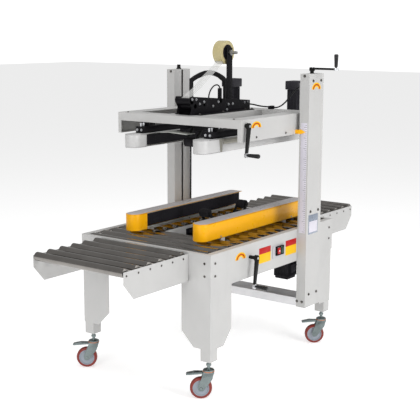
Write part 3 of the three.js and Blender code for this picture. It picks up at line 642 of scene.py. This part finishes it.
# ---- Casters ----
@dataclass
class Caster:
    """A braked caster: pressed fork, red tread on a grey core, axle bolt and brake pedal."""

    wheel: float = 48.0
    trail: float = 33.0
    turn: float = math.radians(-54)
    half: float = 14.0

    def build(self, end: str, side: str) -> None:
        """Makes the fork and the wheel at one corner of the table."""
        corner = Matrix.Translation((ENDS[end] * 477.7, SIDES[side] * 334.7, 0))
        place = corner @ Matrix.Rotation(self.turn, 4, "Z")
        fork, tread, core = (f"caster_{part}_{end}_{side}" for part in ("fork", "wheel", "core"))
        self.fork().moved(place).make(fork + "_pressed", fork, FORK, [fork])
        ring = [(20, 121.6), (25.6, 121.6), (26, 123), (25.4, 124.4), (20, 124.4)]
        Shape().turned(ring, Axis.Z, (0, 0)).moved(place).make(fork + "_dust_ring", fork, DUST_RING)
        self.tread().moved(place).make(tread + "_tread", tread, TREAD, [tread])
        self.core().moved(place).make(core, tread, HUB)

    def fork(self) -> Shape:
        """Makes the stem, ball race, cheeks and pedal."""
        t, w, gap = self.trail, self.wheel, self.half + 3
        shape = Shape()
        shape.rod(7, Axis.Z, (0, 0), (118, 168.7)).rod(11.5, Axis.Z, (0, 0), (146, 156), 1, 6)
        race = [(0, 122), (20, 122), (24.5, 124), (24.5, 129), (21, 131.5), (14, 132), (14, 134), (0, 134)]
        shape.turned(race, Axis.Z, (0, 0))
        shape.box((-24, 24), (-gap - 3, gap + 3), (114, 123), 2.5, 3)
        cheek = [(-22, 116), (22, 116), (16, 90), (-t + 12, w - 9), (-t + 5, w - 12), (-t - 5, w - 12),
                 (-t - 11, w - 6), (-t - 14, w + 8)]
        for s in (-1, 1):
            shape.prism(cheek, Axis.Y, s * (gap + 1.5) - 1.5, s * (gap + 1.5) + 1.5, 1.0)
            shape.rod(8, Axis.Y, (-t, w), (s * gap, s * (gap + 5)), 1, 6)
        pedal = [(-t + 8, 112), (-90, 106.5), (-97, 107), (-98, 111), (-94, 113.5), (-60, 121), (-t + 8, 120)]
        shape.prism(pedal, Axis.Y, -13.5, 13.5, 1.2)
        for x in (-93, -86, -79):
            shape.box((x, x + 2.5), (-12, 12), (112 + (x + 93) * 0.2, 115 + (x + 93) * 0.2), 0.6)
        return shape

    def tread(self) -> Shape:
        """Makes the cast tread ring."""
        h, w = self.half - 1, self.wheel
        ring = [(w - 12, -h), (w - 6, -h), (w - 2.5, -h + 2), (w, -h + 6), (w, h - 6), (w - 2.5, h - 2),
                (w - 6, h), (w - 12, h)]
        return Shape().turned(ring, Axis.Y, (-self.trail, w), 56)

    def core(self) -> Shape:
        """Makes the wheel's core with its hub and dished web."""
        h, w = self.half, self.wheel
        profile = [(0, -h - 0.8), (9.5, -h - 0.8), (10, -h + 1), (13, -h + 5), (w - 17, -h + 6),
                   (w - 15, -h + 2), (w - 12.2, -h + 1.5), (w - 12.2, h - 1.5), (w - 15, h - 2),
                   (w - 17, h - 6), (13, h - 5), (10, h - 1), (9.5, h + 0.8), (0, h + 0.8)]
        return Shape().turned(profile, Axis.Y, (-self.trail, w), 48)


# ---- Columns ----
@dataclass
class Column:
    """A lift column with its bolts; the operator's one carries a ruler, a plain plate and a decal."""

    x0: float = 177.0
    outer: float = 416.0
    ruler_foot: float = 630.0
    ticks: int = 52
    tick_pitch: float = 9.8

    def build(self) -> None:
        """Makes both columns and what is fixed to them."""
        for side, sign in SIDES.items():
            soften(f"column_{side}", "base", PAINT)
            bolts = Shape()
            for z in (1332, 724, 324):
                for x in (210, 280):
                    bolts.bolt((x, sign * self.outer, z), Axis.Y, sign, 5.5)
            for y, z in ((390, 1354), (372, 291), (399, 291)):
                bolts.bolt((self.x0, sign * y, z), Axis.X, -1, 5.5)
            # These bolt heads carry painted shade: their zinc colour is darkened.
            bolts.make(f"column_{side}_bolts", "base", SHADE_PAINTED_ZINC)
        self.ruler()
        y = -self.outer
        Shape().box((194, 280), (y - 0.8, y), (616, 708), 0.3).make("blank_plate", "base", PLATE_BLUE)
        Shape().box((200, 274), (y - 1.1, y - 0.6), (624, 676), 0.1).make("blank_plate_panel", "base", RULER)
        arc_decal((240, 1308), y, 80, 31, "column", "base")
        dress("lift_screw_far", CRANK_BLACK)

    def ruler(self) -> None:
        """Makes the height strip with its plain tick marks."""
        x = self.x0
        Shape().box((x - 0.8, x), (-408, -376), (624, 1140), 0.2).make("height_strip", "base", RULER)
        ticks = Shape()
        for i in range(self.ticks):
            length, z = 15 if i % 5 == 0 else 8, self.ruler_foot + i * self.tick_pitch
            ticks.box((x - 1.0, x - 0.6), (-407, -407 + length), (z, z + 1.4), 0)
        ticks.make("height_strip_ticks", "base", INK)


# ---- Head frame ----
@dataclass
class HeadFrame:
    """The frame that carries the upper head between the columns, with its pointer and decal."""

    half_width: float = 348.0

    def build(self) -> None:
        """Makes the frame, its bolts, pointer and decal."""
        soften("head_frame", "carriage", PAINT)
        bolts = Shape()
        for s in SIDES.values():
            for x in (-150, 90, 320):
                bolts.bolt((x, s * self.half_width, 1100), Axis.Y, s, 4.2)
            for x in (-180, 0, 180, 236):
                bolts.bolt((x, s * 62, 1186), Axis.Z, 1, 4.5)
            for x in (-255, 330):
                bolts.bolt((x, s * 300, 1182), Axis.Z, 1, 4.5)
        # These bolt heads carry painted shade: their zinc colour is darkened.
        bolts.make("head_frame_bolts", "carriage", SHADE_PAINTED_ZINC)
        arc_decal((-152, 1156), -self.half_width, 78, 28, "head_frame", "carriage")
        skirt = [(-74, 1104), (-74, 1106), (30, 1110.5), (74, 1106), (74, 1104), (30, 1108.5)]
        Shape().prism(skirt, Axis.X, -296, -232, 0.4).make("head_frame_skirt", "carriage", GUARD_GREY)
        pointer = [(-330, 1090), (-330, 1106), (-380, 1109), (-402, 1099), (-380, 1089)]
        Shape().prism(pointer, Axis.X, 171, 174, 0.5).make("height_pointer", "carriage", YELLOW)


# ---- Side-belt drives ----
@dataclass
class BeltDrive:
    """A side-belt drive: a bent cover round the nose, a slide bed, pulleys and a ribbed belt."""

    level: str
    cover_node: str
    finish: Finish
    z0: float
    z1: float
    belt0: float
    belt1: float
    inner: float = 155.0
    outer: float = 232.0
    nose: float = -341.5
    rear: float = 482.0
    open_x: float = -295.0
    middle: float = 192.0
    rear_pulley: float = 442.5
    belt_outer: float = 34.0
    belt_inner: float = 31.0

    def build(self, side: str) -> None:
        """Makes one drive on the side named near or far."""
        body, place = f"{self.level}_{side}_drive", mirror(SIDES[side])
        name = f"{self.level}_{side}"
        self.cover().moved(place).make(f"{name}_cover", body, self.finish, [f"{self.cover_node}_{side}"])
        self.bed().moved(place).make(f"{name}_slide_bed", body, ALUMINIUM)
        hanger_finish = HEAD_PAINT if self.level == "upper" else PAINT
        self.hangers().moved(place).make(f"{name}_hangers", body, hanger_finish)
        self.skirt(name, body, place)
        self.fasteners().moved(place).make(f"{name}_bolts", body, ZINC)
        self.belt().moved(place).make(f"{name}_belt_loop", body, BELT, [f"{self.level}_belt_{side}"])

    def cover(self) -> Shape:
        """Makes the top, bottom and outer walls and the wrap round the nose."""
        radius, centre = (self.outer - self.inner) / 2, (self.outer + self.inner) / 2
        nose = round_end(self.nose, centre, radius)
        plan = nose + [(self.open_x, self.inner), (self.open_x, self.inner + 5.5),
                       (self.rear, self.inner + 5.5), (self.rear, self.outer - 12),
                       (self.rear - 12, self.outer)]
        shape = Shape()
        shape.prism(plan, Axis.Z, self.z1 - 3, self.z1, 0.8)
        shape.prism(plan, Axis.Z, self.z0, self.z0 + 3, 0.8)
        skin = round_end(self.nose, centre, radius - 2.5)[::-1]
        wall = [(self.rear - 12, self.outer)] + nose
        wall += [(self.open_x, self.inner), (self.open_x, self.inner + 2.5)] + skin + [(self.rear - 13,
                                                                                        self.outer - 2.5)]
        return shape.prism(wall, Axis.Z, self.z0 + 0.5, self.z1 - 0.5, 0.3)

    def skirt(self, name: str, body: str, place: Matrix) -> None:
        """Makes the strips outside an upper cover, or the deck and the wear rail of a lower one."""
        y, z0, z1 = self.outer, self.z0, self.z1
        if self.level == "upper":
            outline = [(-243, z0), (self.rear - 12, z0), (self.rear - 12, z0 + 33), (-238, z0 + 33)]
            plate = Shape().prism(outline, Axis.Y, y, y + 1.6, 0.5).moved(place)
            plate.make(f"{name}_lower_skirt", body, self.finish)
            strip = Shape().box((-238, self.rear - 12), (y, y + 3), (z0 + 35, z1 - 3), 0.8)
            for z in (z0 + 41, z0 + 49):
                strip.box((-238, self.rear - 12), (y, y + 4.2), (z, z + 2), 0.5)
            strip.moved(place).make(f"{name}_extrusion", body, RAIL_GREY)
            gap = [(-257, z0 + 0.5), (-246, z0 + 0.5), (-240, z1 - 1), (-268, z1 - 1)]
            Shape().prism(gap, Axis.Y, y, y + 0.7, 0).moved(place).make(f"{name}_nose_gap", body, RAIL_GREY)
        else:
            radius, middle = (y - self.inner) / 2 - 4, (y + self.inner) / 2
            deck = round_end(self.nose, middle, radius)
            deck += [(self.rear - 6, self.inner + 4), (self.rear - 6, y - 14), (self.rear - 14, y - 4)]
            Shape().prism(deck, Axis.Z, z1, z1 + 0.7, 0.2).moved(place).make(f"{name}_deck", body, DECK)
            x, y, z = (self.open_x + 2, self.rear - 8), (self.inner - 2, self.inner + 6), (z0, self.belt0 - 4)
            Shape().box(x, y, z, 1).moved(place).make(f"{name}_wear_rail", body, ALUMINIUM)

    def bed(self) -> Shape:
        """Makes the slide bed and the two pulleys that the belt runs round."""
        shape = Shape().box((self.nose + 40, self.rear_pulley - 36), (self.middle - 24, self.middle + 24),
                            (self.belt0 - 4, self.belt1 + 3), 1.2)
        for x in (self.nose + 6, self.rear_pulley):
            shape.rod(30, Axis.Z, (x, self.middle), (self.belt0 - 1, self.belt1 + 1), 1.5, 48)
        return shape

    def belt(self) -> Shape:
        """Makes the closed belt loop as a wall between two round-ended outlines."""
        part = bmesh.new()
        ends = (self.nose, self.rear_pulley)
        outlines = [stadium(ends, self.middle, radius) for radius in (self.belt_outer, self.belt_inner)]
        rings = [[part.verts.new((x, y, 0)) for x, y in outline] for outline in outlines]
        for ring in rings:
            for pair in zip(ring, ring[1:] + ring[:1]):
                part.edges.new(pair)
        bmesh.ops.bridge_loops(part, edges=part.edges)
        draw_out(part, part.faces[:], self.belt1 - self.belt0)
        return Shape().take(part, Matrix.Translation((0, 0, self.belt0)))

    def hangers(self) -> Shape:
        """Makes the plates that ride on the width screw and the slide rods."""
        shape = Shape()
        if self.level == "lower":
            shape.box((-233, -205), (190, 222), (530, self.z0))
            shape.box((278, 306), (190, 222), (489, self.z0))
        else:
            shape.box((-300, 380), (172, 216), (self.z1, self.z1 + 30), 1.5)
            shape.box((-257, -213), (172, 216), (self.z1 + 28, 1173), 1.2)
            shape.box((283, 327), (172, 216), (self.z1 + 28, 1173), 1.2)
        return shape

    def fasteners(self) -> Shape:
        """Makes the bolts on the cover's top face and on the hangers."""
        shape = Shape()
        if self.level == "lower":
            for x in (-150, 110, 370):
                shape.bolt((x, 205, self.z1 + 0.5), Axis.Z, 1, 3.6)
            for x in (-250, 340):
                shape.bolt((x, self.outer, self.z0 + 8), Axis.Y, 1, 3.6)
        else:
            for x in (-246, -224, 294, 316):
                shape.bolt((x, 216, 1140), Axis.Y, 1, 4.2)
            for y in (182, 206):
                shape.bolt((-257, y, 1148), Axis.X, -1, 5.0)
                shape.bolt((-300, y, 1110), Axis.X, -1, 5.0)
            for x in (-288, -270):
                shape.rod(5, Axis.Z, (x, 194), (self.z1 + 28, self.z1 + 46), 1, 16)
        return shape


# ---- Motors ----
@dataclass
class Motor:
    """A flanged motor with cooling ribs: two stand on the upper drives, one hangs under the table."""

    upper_at: Pair = (426.0, 191.0)
    shaft_at: Pair = (365.0, -205.0)
    lower_at: Pair = (354.0, -194.0)

    def build(self) -> None:
        """Makes the two upper motors and the lower gear motor."""
        for side, sign in SIDES.items():
            node, body = f"upper_motor_{side}", f"upper_{side}_drive"
            self.upper().moved(mirror(sign)).make(node + "_case", body, MOTOR_PAINT, [node])
        self.lower().make("lower_motor_near_case", "lower_near_drive", MOTOR_PAINT, ["lower_motor_near"])

    def block(self, shape: Shape, centre: Pair, half: float, z: Pair, edge: float = 3,
              segments: int = 3) -> None:
        """Adds a square block of that half width round an upright axis."""
        x, y = centre
        shape.box((x - half, x + half), (y - half, y + half), z, edge, segments)

    def ribbed(self, shape: Shape, centre: Pair, half: float, z: Pair) -> None:
        """Adds a square case with upright cooling ribs on its four sides."""
        x, y = centre
        self.block(shape, centre, half - 4, z)
        ribs = int(half / 4.5)
        for i in range(ribs):
            at = -half + 6 + i * (2 * half - 12) / (ribs - 1)
            shape.box((x + at - 1.1, x + at + 1.1), (y - half, y + half), (z[0] + 3, z[1] - 3), 0.7, 1)
            shape.box((x - half, x + half), (y + at - 1.1, y + at + 1.1), (z[0] + 3, z[1] - 3), 0.7, 1)

    def upper(self) -> Shape:
        """Makes a motor that stands on its drive, with a wider head box."""
        centre, shape = self.upper_at, Shape()
        shape.rod(18, Axis.Z, centre, (1095.4, 1152))
        self.block(shape, centre, 36, (1150, 1170), 2)
        self.ribbed(shape, centre, 32, (1168, 1276))
        self.block(shape, centre, 38, (1274, 1316), 4)
        for a in (-28, 28):
            for b in (-28, 28):
                shape.bolt((centre[0] + a, centre[1] + b, 1170), Axis.Z, 1, 3.2)
        return shape

    def lower(self) -> Shape:
        """Makes the gear motor with its terminal box and short lead."""
        (sx, sy), (x, y), shape = self.shaft_at, self.lower_at, Shape()
        shape.box((sx - 12, sx + 12), (sy - 18, sy + 18), (558, 651.7))
        self.block(shape, self.lower_at, 45, (476, 560), 4)
        self.ribbed(shape, self.lower_at, 43, (354, 478))
        self.block(shape, self.lower_at, 37, (344, 356), 3)
        shape.box((x - 26, x + 14), (y - 54, y - 41), (380, 420), 2)
        return shape.tube([(x + 16, y - 30, 486), (x + 20, y - 62, 462), (x + 6, y - 72, 430),
                           (x - 6, y - 44, 398)], 3)


# ---- Tape heads ----
@dataclass
class TapeHead:
    """The upper and lower tape heads, with the roll, its web and the sprung press arms."""

    half: float = 42.0
    roll_x: float = 84.0
    roll_z: float = 1456.0
    roll: float = 55.0
    core: float = 38.0
    spare_at: Pair = (102.0, 420.0)

    def build(self) -> None:
        """Makes both heads."""
        self.upper_plates().make("upper_head_plates", "carriage", HEAD_PAINT, ["upper_head"])
        self.upper_steel().make("upper_head_spindles", "carriage", STEEL)
        self.upper_bolts().make("upper_head_bolts", "carriage", ZINC)
        self.tape().make("tape_roll_wound", "tape_roll", TAPE, ["tape_roll"])
        self.hub().make("tape_roll_hub", "tape_roll", HEAD_PAINT)
        self.core_ring().make("tape_roll_core", "tape_roll", CARD)
        self.web().make("tape_web", "carriage", WEB)
        self.lower_plates().make("lower_head_plates", "base", HEAD_PAINT, ["lower_head"])
        self.lower_tape().make("lower_spare_roll", "base", TAPE)
        arms = (("upper_front_arm", (-172, 1056), (-100, 1128)), ("upper_rear_arm", (190, 1056), (110, 1128)),
                ("lower_front_arm", (-55, 711), (20, 606)), ("lower_rear_arm", (248, 711), (180, 606)))
        for node, roller, pivot in arms:
            self.arm(roller, pivot).make(node + "_cheeks", node, CRANK_BLACK, [node])
            self.arm_roller(roller).make(node + "_roller", node, RUBBER)

    def upper_plates(self) -> Shape:
        """Makes the side plates, arch, mast and deck feet."""
        side = [(-224, 1184), (-199, 1184), (-194, 1110), (225, 1110), (249, 1150), (249, 1227), (-180, 1263),
                (-225, 1266), (-232, 1250), (-212, 1216)]
        shape = Shape()
        shape.prism(side, Axis.Y, self.half - 4, self.half, 0.8).prism(side, Axis.Y, -self.half,
                                                                       -self.half + 4, 0.8)
        over = [(156, 1328), (134, 1343), (97, 1358), (60, 1369), (24, 1374), (-16, 1373), (-53, 1366),
                (-94, 1354), (-129, 1340)]
        under = [(-108, 1326), (-78, 1337), (-45, 1345), (-10, 1351), (24, 1352), (58, 1347), (90, 1338),
                 (135, 1314)]
        shape.prism([(156, 1200)] + over + [(-129, 1200), (-108, 1200)] + under + [(135, 1200)], Axis.Y, 30,
                    38.5, 0.8)
        shape.box((self.roll_x - 21, self.roll_x + 21), (-38.5, -32), (1200, self.roll_z + 22), 2)
        for s in (-1, 1):
            shape.box((-190, 240), (s * 41, s * 75), (1182.3, 1186), 0.8)
        for x, z in ((-120, 1225), (-60, 1160), (60, 1200), (200, 1180), (200, 1140)):
            shape.rod(8, Axis.Y, (x, z), (-self.half, self.half))
        shape.rod(14, Axis.Y, (-215, 1245), (-self.half, self.half), 1, 40)
        shape.rod(11, Axis.Y, (-188, 1222), (-self.half, self.half))
        return shape.box((0, 16), (-self.half, -28), (1225, 1294), 1.5)

    def upper_steel(self) -> Shape:
        """Makes the spindle and its nut."""
        middle = (self.roll_x, self.roll_z)
        return Shape().rod(7, Axis.Y, middle, (-78, 30)).rod(14, Axis.Y, middle, (-50, -39), 1, 6)

    def upper_bolts(self) -> Shape:
        """Makes the bright bolts on the operator's side plate."""
        shape = Shape()
        places = ((-212, 1254), (-182, 1252), (-156, 1231), (-123, 1238), (-55, 1215), (-13, 1232),
                  (56, 1193), (68, 1217), (103, 1217), (203, 1217), (231, 1219))
        for x, z in places:
            shape.bolt((x, -self.half, z), Axis.Y, -1, 5.0)
        return shape

    def tape(self) -> Shape:
        """Makes the wound ring of tape."""
        inner, outer, edge = self.core + 0.5, self.roll, 0.6
        ring = [(inner, -HALF_TAPE), (outer - edge, -HALF_TAPE), (outer, edge - HALF_TAPE),
                (outer, HALF_TAPE - edge), (outer - edge, HALF_TAPE), (inner, HALF_TAPE)]
        return Shape().turned(ring, Axis.Y, (self.roll_x, self.roll_z), 72)

    def core_ring(self) -> Shape:
        """Makes the card core."""
        ring = [(34, -23.8), (38.2, -23.8), (38.2, 23.8), (34, 23.8)]
        return Shape().turned(ring, Axis.Y, (self.roll_x, self.roll_z), 56)

    def hub(self) -> Shape:
        """Makes the hub disc that the core sits on, with three screws."""
        disc = [(7.4, -26.8), (33, -26.8), (36, -25.8), (36, -24.4), (33.6, -24), (33.6, 22), (7.4, 22)]
        shape = Shape().turned(disc, Axis.Y, (self.roll_x, self.roll_z), 56)
        for i in range(3):
            a = math.radians(90 + 120 * i)
            shape.bolt((self.roll_x + 22 * math.cos(a), -26.4, self.roll_z + 22 * math.sin(a)), Axis.Y, -1,
                       3.0)
        return shape

    def web(self) -> Shape:
        """Makes the strip of tape from the roll to the infeed idlers."""
        line = [(46, 1416), (42, 1403), (-5, 1374), (-52, 1347), (-120, 1300), (-205, 1258.6)]
        strip = line + [(x, z - 0.4) for x, z in reversed(line)]
        return Shape().prism(strip, Axis.Y, -HALF_TAPE, HALF_TAPE, 0)

    def lower_plates(self) -> Shape:
        """Makes the lower head's side plates, spacers, bearer bars and roll hanger."""
        side = [(-150, 644), (-150, 600), (-110, 520), (260, 520), (330, 580), (330, 644)]
        shape = Shape()
        shape.prism(side, Axis.Y, self.half - 4, self.half, 0.8).prism(side, Axis.Y, -self.half,
                                                                       -self.half + 4, 0.8)
        for x, z in ((-120, 600), (-60, 545), (120, 545), (280, 600), (300, 630), (-130, 630)):
            shape.rod(8, Axis.Y, (x, z), (-self.half, self.half))
        for x in (-140, 300):
            shape.box((x, x + 20), (-119.7, 119.7), (592, 600))
        return shape.box((84, 120), (-38.5, -32), (400, 530), 1.5).rod(7, Axis.Y, self.spare_at, (-38, 30))

    def lower_tape(self) -> Shape:
        """Makes the spare roll under the lower head."""
        ring = [(8, -HALF_TAPE), (self.roll, -HALF_TAPE), (self.roll, HALF_TAPE), (8, HALF_TAPE)]
        return Shape().turned(ring, Axis.Y, self.spare_at, 60)

    def arm(self, roller: Pair, pivot: Pair) -> Shape:
        """Makes the two cheeks, the pivot bar and the axle of a press arm."""
        along = Vector((pivot[0] - roller[0], pivot[1] - roller[1])).normalized() * 9
        n = (-along.y, along.x)
        steps = ((roller, n), (roller, (-along.x, -along.y)), (roller, (-n[0], -n[1])),
                 (pivot, (-n[0], -n[1])), (pivot, n))
        cheek = [(at[0] + step[0], at[1] + step[1]) for at, step in steps]
        shape = Shape()
        for s in (-1, 1):
            shape.prism(cheek, Axis.Y, s * 26.5 - 1.5, s * 26.5 + 1.5, 0.6)
        return shape.rod(9, Axis.Y, pivot, (-37.7, 37.7)).rod(6, Axis.Y, roller, (-29, 29), 0.8, 6)

    def arm_roller(self, roller: Pair) -> Shape:
        """Makes the rubber roller of a press arm."""
        r = [(6.4, -24), (19, -24), (21, -22), (21, 22), (19, 24), (6.4, 24)]
        return Shape().turned(r, Axis.Y, roller, 48)


# ---- Cranks, switches and cables ----
@dataclass
class Crank:
    """A hand crank: shaft, hub, flat arm and turning grip, built with its shaft along +Z."""

    node: str
    height: float
    shaft: Pair
    place: Matrix
    shaft_radius: float = 8.0
    arm: float = 125.0
    hub: float = 13.0
    hub_height: float = 16.0

    def build(self) -> None:
        """Makes the crank and its grip."""
        h, top, hub = self.height, self.height + self.hub_height, self.hub
        metal = Shape().rod(self.shaft_radius, Axis.Z, (0, 0), self.shaft)
        metal.turned([(0, h), (hub - 1, h), (hub, h + 1), (hub, top - 2), (hub - 2, top), (0, top)], Axis.Z,
                     (0, 0))
        metal.prism([(0, -hub), (self.arm, -7.5), (self.arm, 7.5), (0, hub)], Axis.Z, h + 6, h + 15, 1.4)
        metal.moved(self.place).make(self.node + "_arm", self.node, CRANK_BLACK, [self.node])
        eye = Shape().rod(11, Axis.Z, (self.arm, 0), (h + 4, top), 1.6).rod(5.5, Axis.Z, (0, 0),
                                                                            (top - 1, top + 1.5), 0.8)
        eye.moved(self.place).make(self.node + "_eye", self.node, ZINC)
        z = top - 2
        grip = [(0, z), (4.5, z), (4.5, z + 5), (7, z + 6.5), (7.6, z + 9), (8.6, z + 34), (9.8, z + 56),
                (9.4, z + 60.5), (7, z + 63.5), (0, z + 64)]
        Shape().turned(grip, Axis.Z, (self.arm, 0)).moved(self.place).make(self.node + "_grip", self.node,
                                                                           GRIP)


def cranks() -> None:
    """Makes the lift crank and the two width cranks, which hang a little towards the infeed."""
    quarter = Matrix.Rotation(-math.pi / 2, 4, "Z")
    hanging = quarter @ Matrix.Rotation(math.pi / 2, 4, "Y") @ Matrix.Rotation(math.radians(-8), 4, "Z")
    Crank("lift_crank", 1376, (309, 1378), Matrix.Translation((241, -390, 0)) @ quarter, 9).build()
    Crank("lower_width_crank", 27, (-707, 29), Matrix.Translation((-219, -367, 580)) @ hanging).build()
    Crank("upper_width_crank", 7, (-678, 9), Matrix.Translation((-235, -348, 1156)) @ hanging, 7).build()


@dataclass
class Switches:
    """The switch plate with a start and a stop button."""

    face: float = -367.3

    def build(self) -> None:
        """Makes the plate, the housing and the buttons."""
        f = self.face
        Shape().box((-38, 60), (f - 3, f), (536, 594), 1.2).make("switch_plate", "base", BODY_GREY,
                                                                 ["switch_box"])
        body = Shape()
        for x in (-16, 14, 41):
            body.box((x, x + 3), (f - 12, f - 2.5), (548, 590), 0.8)
        for z in (548, 586):
            body.box((-16, 44), (f - 12, f - 2.5), (z, z + 4), 0.8)
        body.make("switch_housing", "base", HEAD_PAINT)
        Shape().rod(4, Axis.Y, (0.5, 569), (f - 15.6, f - 14.6), 0.3, 20).make("stop_button_dot",
                                                                               "stop_button", RULER)
        for name, x0, x1, finish in (("stop", -9.5, 10.5, STOP_RED), ("start", 17.5, 37.5, START_GREEN)):
            Shape().box((x0, x1), (f - 15, f - 8.5), (554.5, 583.5), 2, 3).make(
                f"{name}_button_cap", f"{name}_button", finish, [f"{name}_button"])


@dataclass
class Cables:
    """The head cable with its clip, the sensor loop and the wrapped conduit on the far column."""

    wraps: int = 52
    wrap_foot: float = 648.0
    wrap_pitch: float = 8.0

    def build(self) -> None:
        """Makes the cables and the clip."""
        head = [(249.3, -20, 1207), (272, -38, 1204), (300, -72, 1195), (324, -103, 1191), (322, -140, 1190),
                (308, -175, 1198), (290, -214, 1218), (272, -254, 1250), (256, -294, 1284), (241, -330, 1303)]
        Shape().tube(head, 3.5).make("head_cable_sheath", "carriage", SHEATH, ["head_cable"])
        Shape().box((300, 336), (-128, -112), (1182.4, 1198), 1.5).make("head_cable_clip", "carriage",
                                                                        HEAD_PAINT)
        loop = [(8, -37, 1292), (-4, -37, 1306), (-26, -37, 1310), (-58, -37, 1296), (-80, -38, 1268),
                (-84, -39, 1252)]
        Shape().tube(loop, 3.2).make("sensor_lead", "carriage", SHEATH)
        conduit = Shape().tube([(298, 358, 640.4), (298, 358, 1060), (298, 361, 1077), (298, 366, 1080)], 3.8)
        for i in range(self.wraps):
            z = self.wrap_foot + i * self.wrap_pitch
            conduit.turned([(3.4, z), (4.6, z + 1.2), (4.6, z + 3.6), (3.4, z + 4.8)], Axis.Z, (298, 358), 14)
        conduit.make("conduit_wrapped", "base", SHEATH, ["conduit"])


# ---- Floor, light and camera ----
@dataclass
class Studio:
    """A pale floor, soft light and the camera."""

    camera_at: Triple = (-3708.87, -2718.37, 1568.21)
    yaw: float = math.radians(36.37)
    pitch: float = math.radians(10.50)
    roll: float = math.radians(0.20)
    lens: float = 84.17
    ambient: float = 0.40
    floor_glow: float = 0.46

    def build(self) -> None:
        """Makes the floor, the lights and the camera."""
        scene = bpy.context.scene
        scene.view_settings.view_transform = "Standard"
        part = bmesh.new()
        bmesh.ops.create_grid(part, x_segments=1, y_segments=1, size=30)
        pale = Finish("pale_floor", "", (0.95, 0.95, 0.95), 0.8, mottle=0.004, soil=0.0, shine=0.0)
        floor = as_object("floor", part, pale)
        glow = floor.data.materials[0].node_tree.nodes["Principled BSDF"].inputs
        glow["Emission Color"].default_value = (1, 1, 1, 1)
        glow["Emission Strength"].default_value = self.floor_glow
        world = bpy.data.worlds.new("studio")
        world.use_nodes = True
        nodes, link = world.node_tree.nodes, world.node_tree.links.new
        background = nodes["Background"]
        background.inputs["Color"].default_value = (1, 1, 1, 1)
        path, seen = nodes.new("ShaderNodeLightPath"), nodes.new("ShaderNodeMapRange")
        seen.inputs["To Min"].default_value = self.ambient
        seen.inputs["To Max"].default_value = 1.15
        link(path.outputs["Is Camera Ray"], seen.inputs["Value"])
        link(seen.outputs["Result"], background.inputs["Strength"])
        scene.world = world
        self.lamp("side_softbox", (-0.35, -4.4, 2.1), 1.7, 88)
        self.lamp("infeed_softbox", (-4.6, -0.5, 2.1), 2.2, 72)
        self.lamp("top_softbox", (0.2, -0.4, 4.6), 3.2, 72)
        self.camera()

    def lamp(self, name: str, at: Triple, size: float, watts: float) -> None:
        """Makes one square softbox that faces the machine."""
        light = bpy.data.lights.new(name, "AREA")
        light.size = size
        light.energy = watts
        lamp = bpy.data.objects.new(name, light)
        lamp.location = at
        lamp.rotation_euler = (Vector((0, 0, 0.8)) - Vector(at)).to_track_quat("-Z", "Y").to_euler()
        bpy.context.scene.collection.objects.link(lamp)

    def camera(self) -> None:
        """Makes the camera at its measured place and angle."""
        data = bpy.data.cameras.new("camera")
        data.lens, data.sensor_width = self.lens, 36
        data.clip_end = 100
        camera = bpy.data.objects.new("camera", data)
        forward = Vector((math.cos(self.yaw) * math.cos(self.pitch),
                          math.sin(self.yaw) * math.cos(self.pitch), -math.sin(self.pitch)))
        right = Vector((math.sin(self.yaw), -math.cos(self.yaw), 0))
        up = right.cross(forward)
        side = right * math.cos(self.roll) + up * math.sin(self.roll)
        top = up * math.cos(self.roll) - right * math.sin(self.roll)
        turn = Matrix((side, top, -forward)).transposed().to_4x4()
        camera.matrix_world = Matrix.Translation(TO_PART @ Vector(self.camera_at)) @ turn
        bpy.context.scene.collection.objects.link(camera)
        bpy.context.scene.camera = camera


def main() -> None:
    """Builds the machine, sub-assembly by sub-assembly."""
    logging.basicConfig(level=logging.INFO, format="%(message)s")
    Studio().build()
    Table().build()
    Rollers().build()
    for end in ENDS:
        for side in SIDES:
            Caster().build(end, side)
    Column().build()
    HeadFrame().build()
    lower = BeltDrive("lower", "lower_guide", YELLOW, 652, 729, 670, 723)
    upper = BeltDrive("upper", "upper_housing", COVER, 1035, 1095, 1043, 1089)
    for side in SIDES:
        lower.build(side)
        upper.build(side)
    Motor().build()
    TapeHead().build()
    cranks()
    Switches().build()
    Cables().build()


if __name__ == "__main__":
    main()
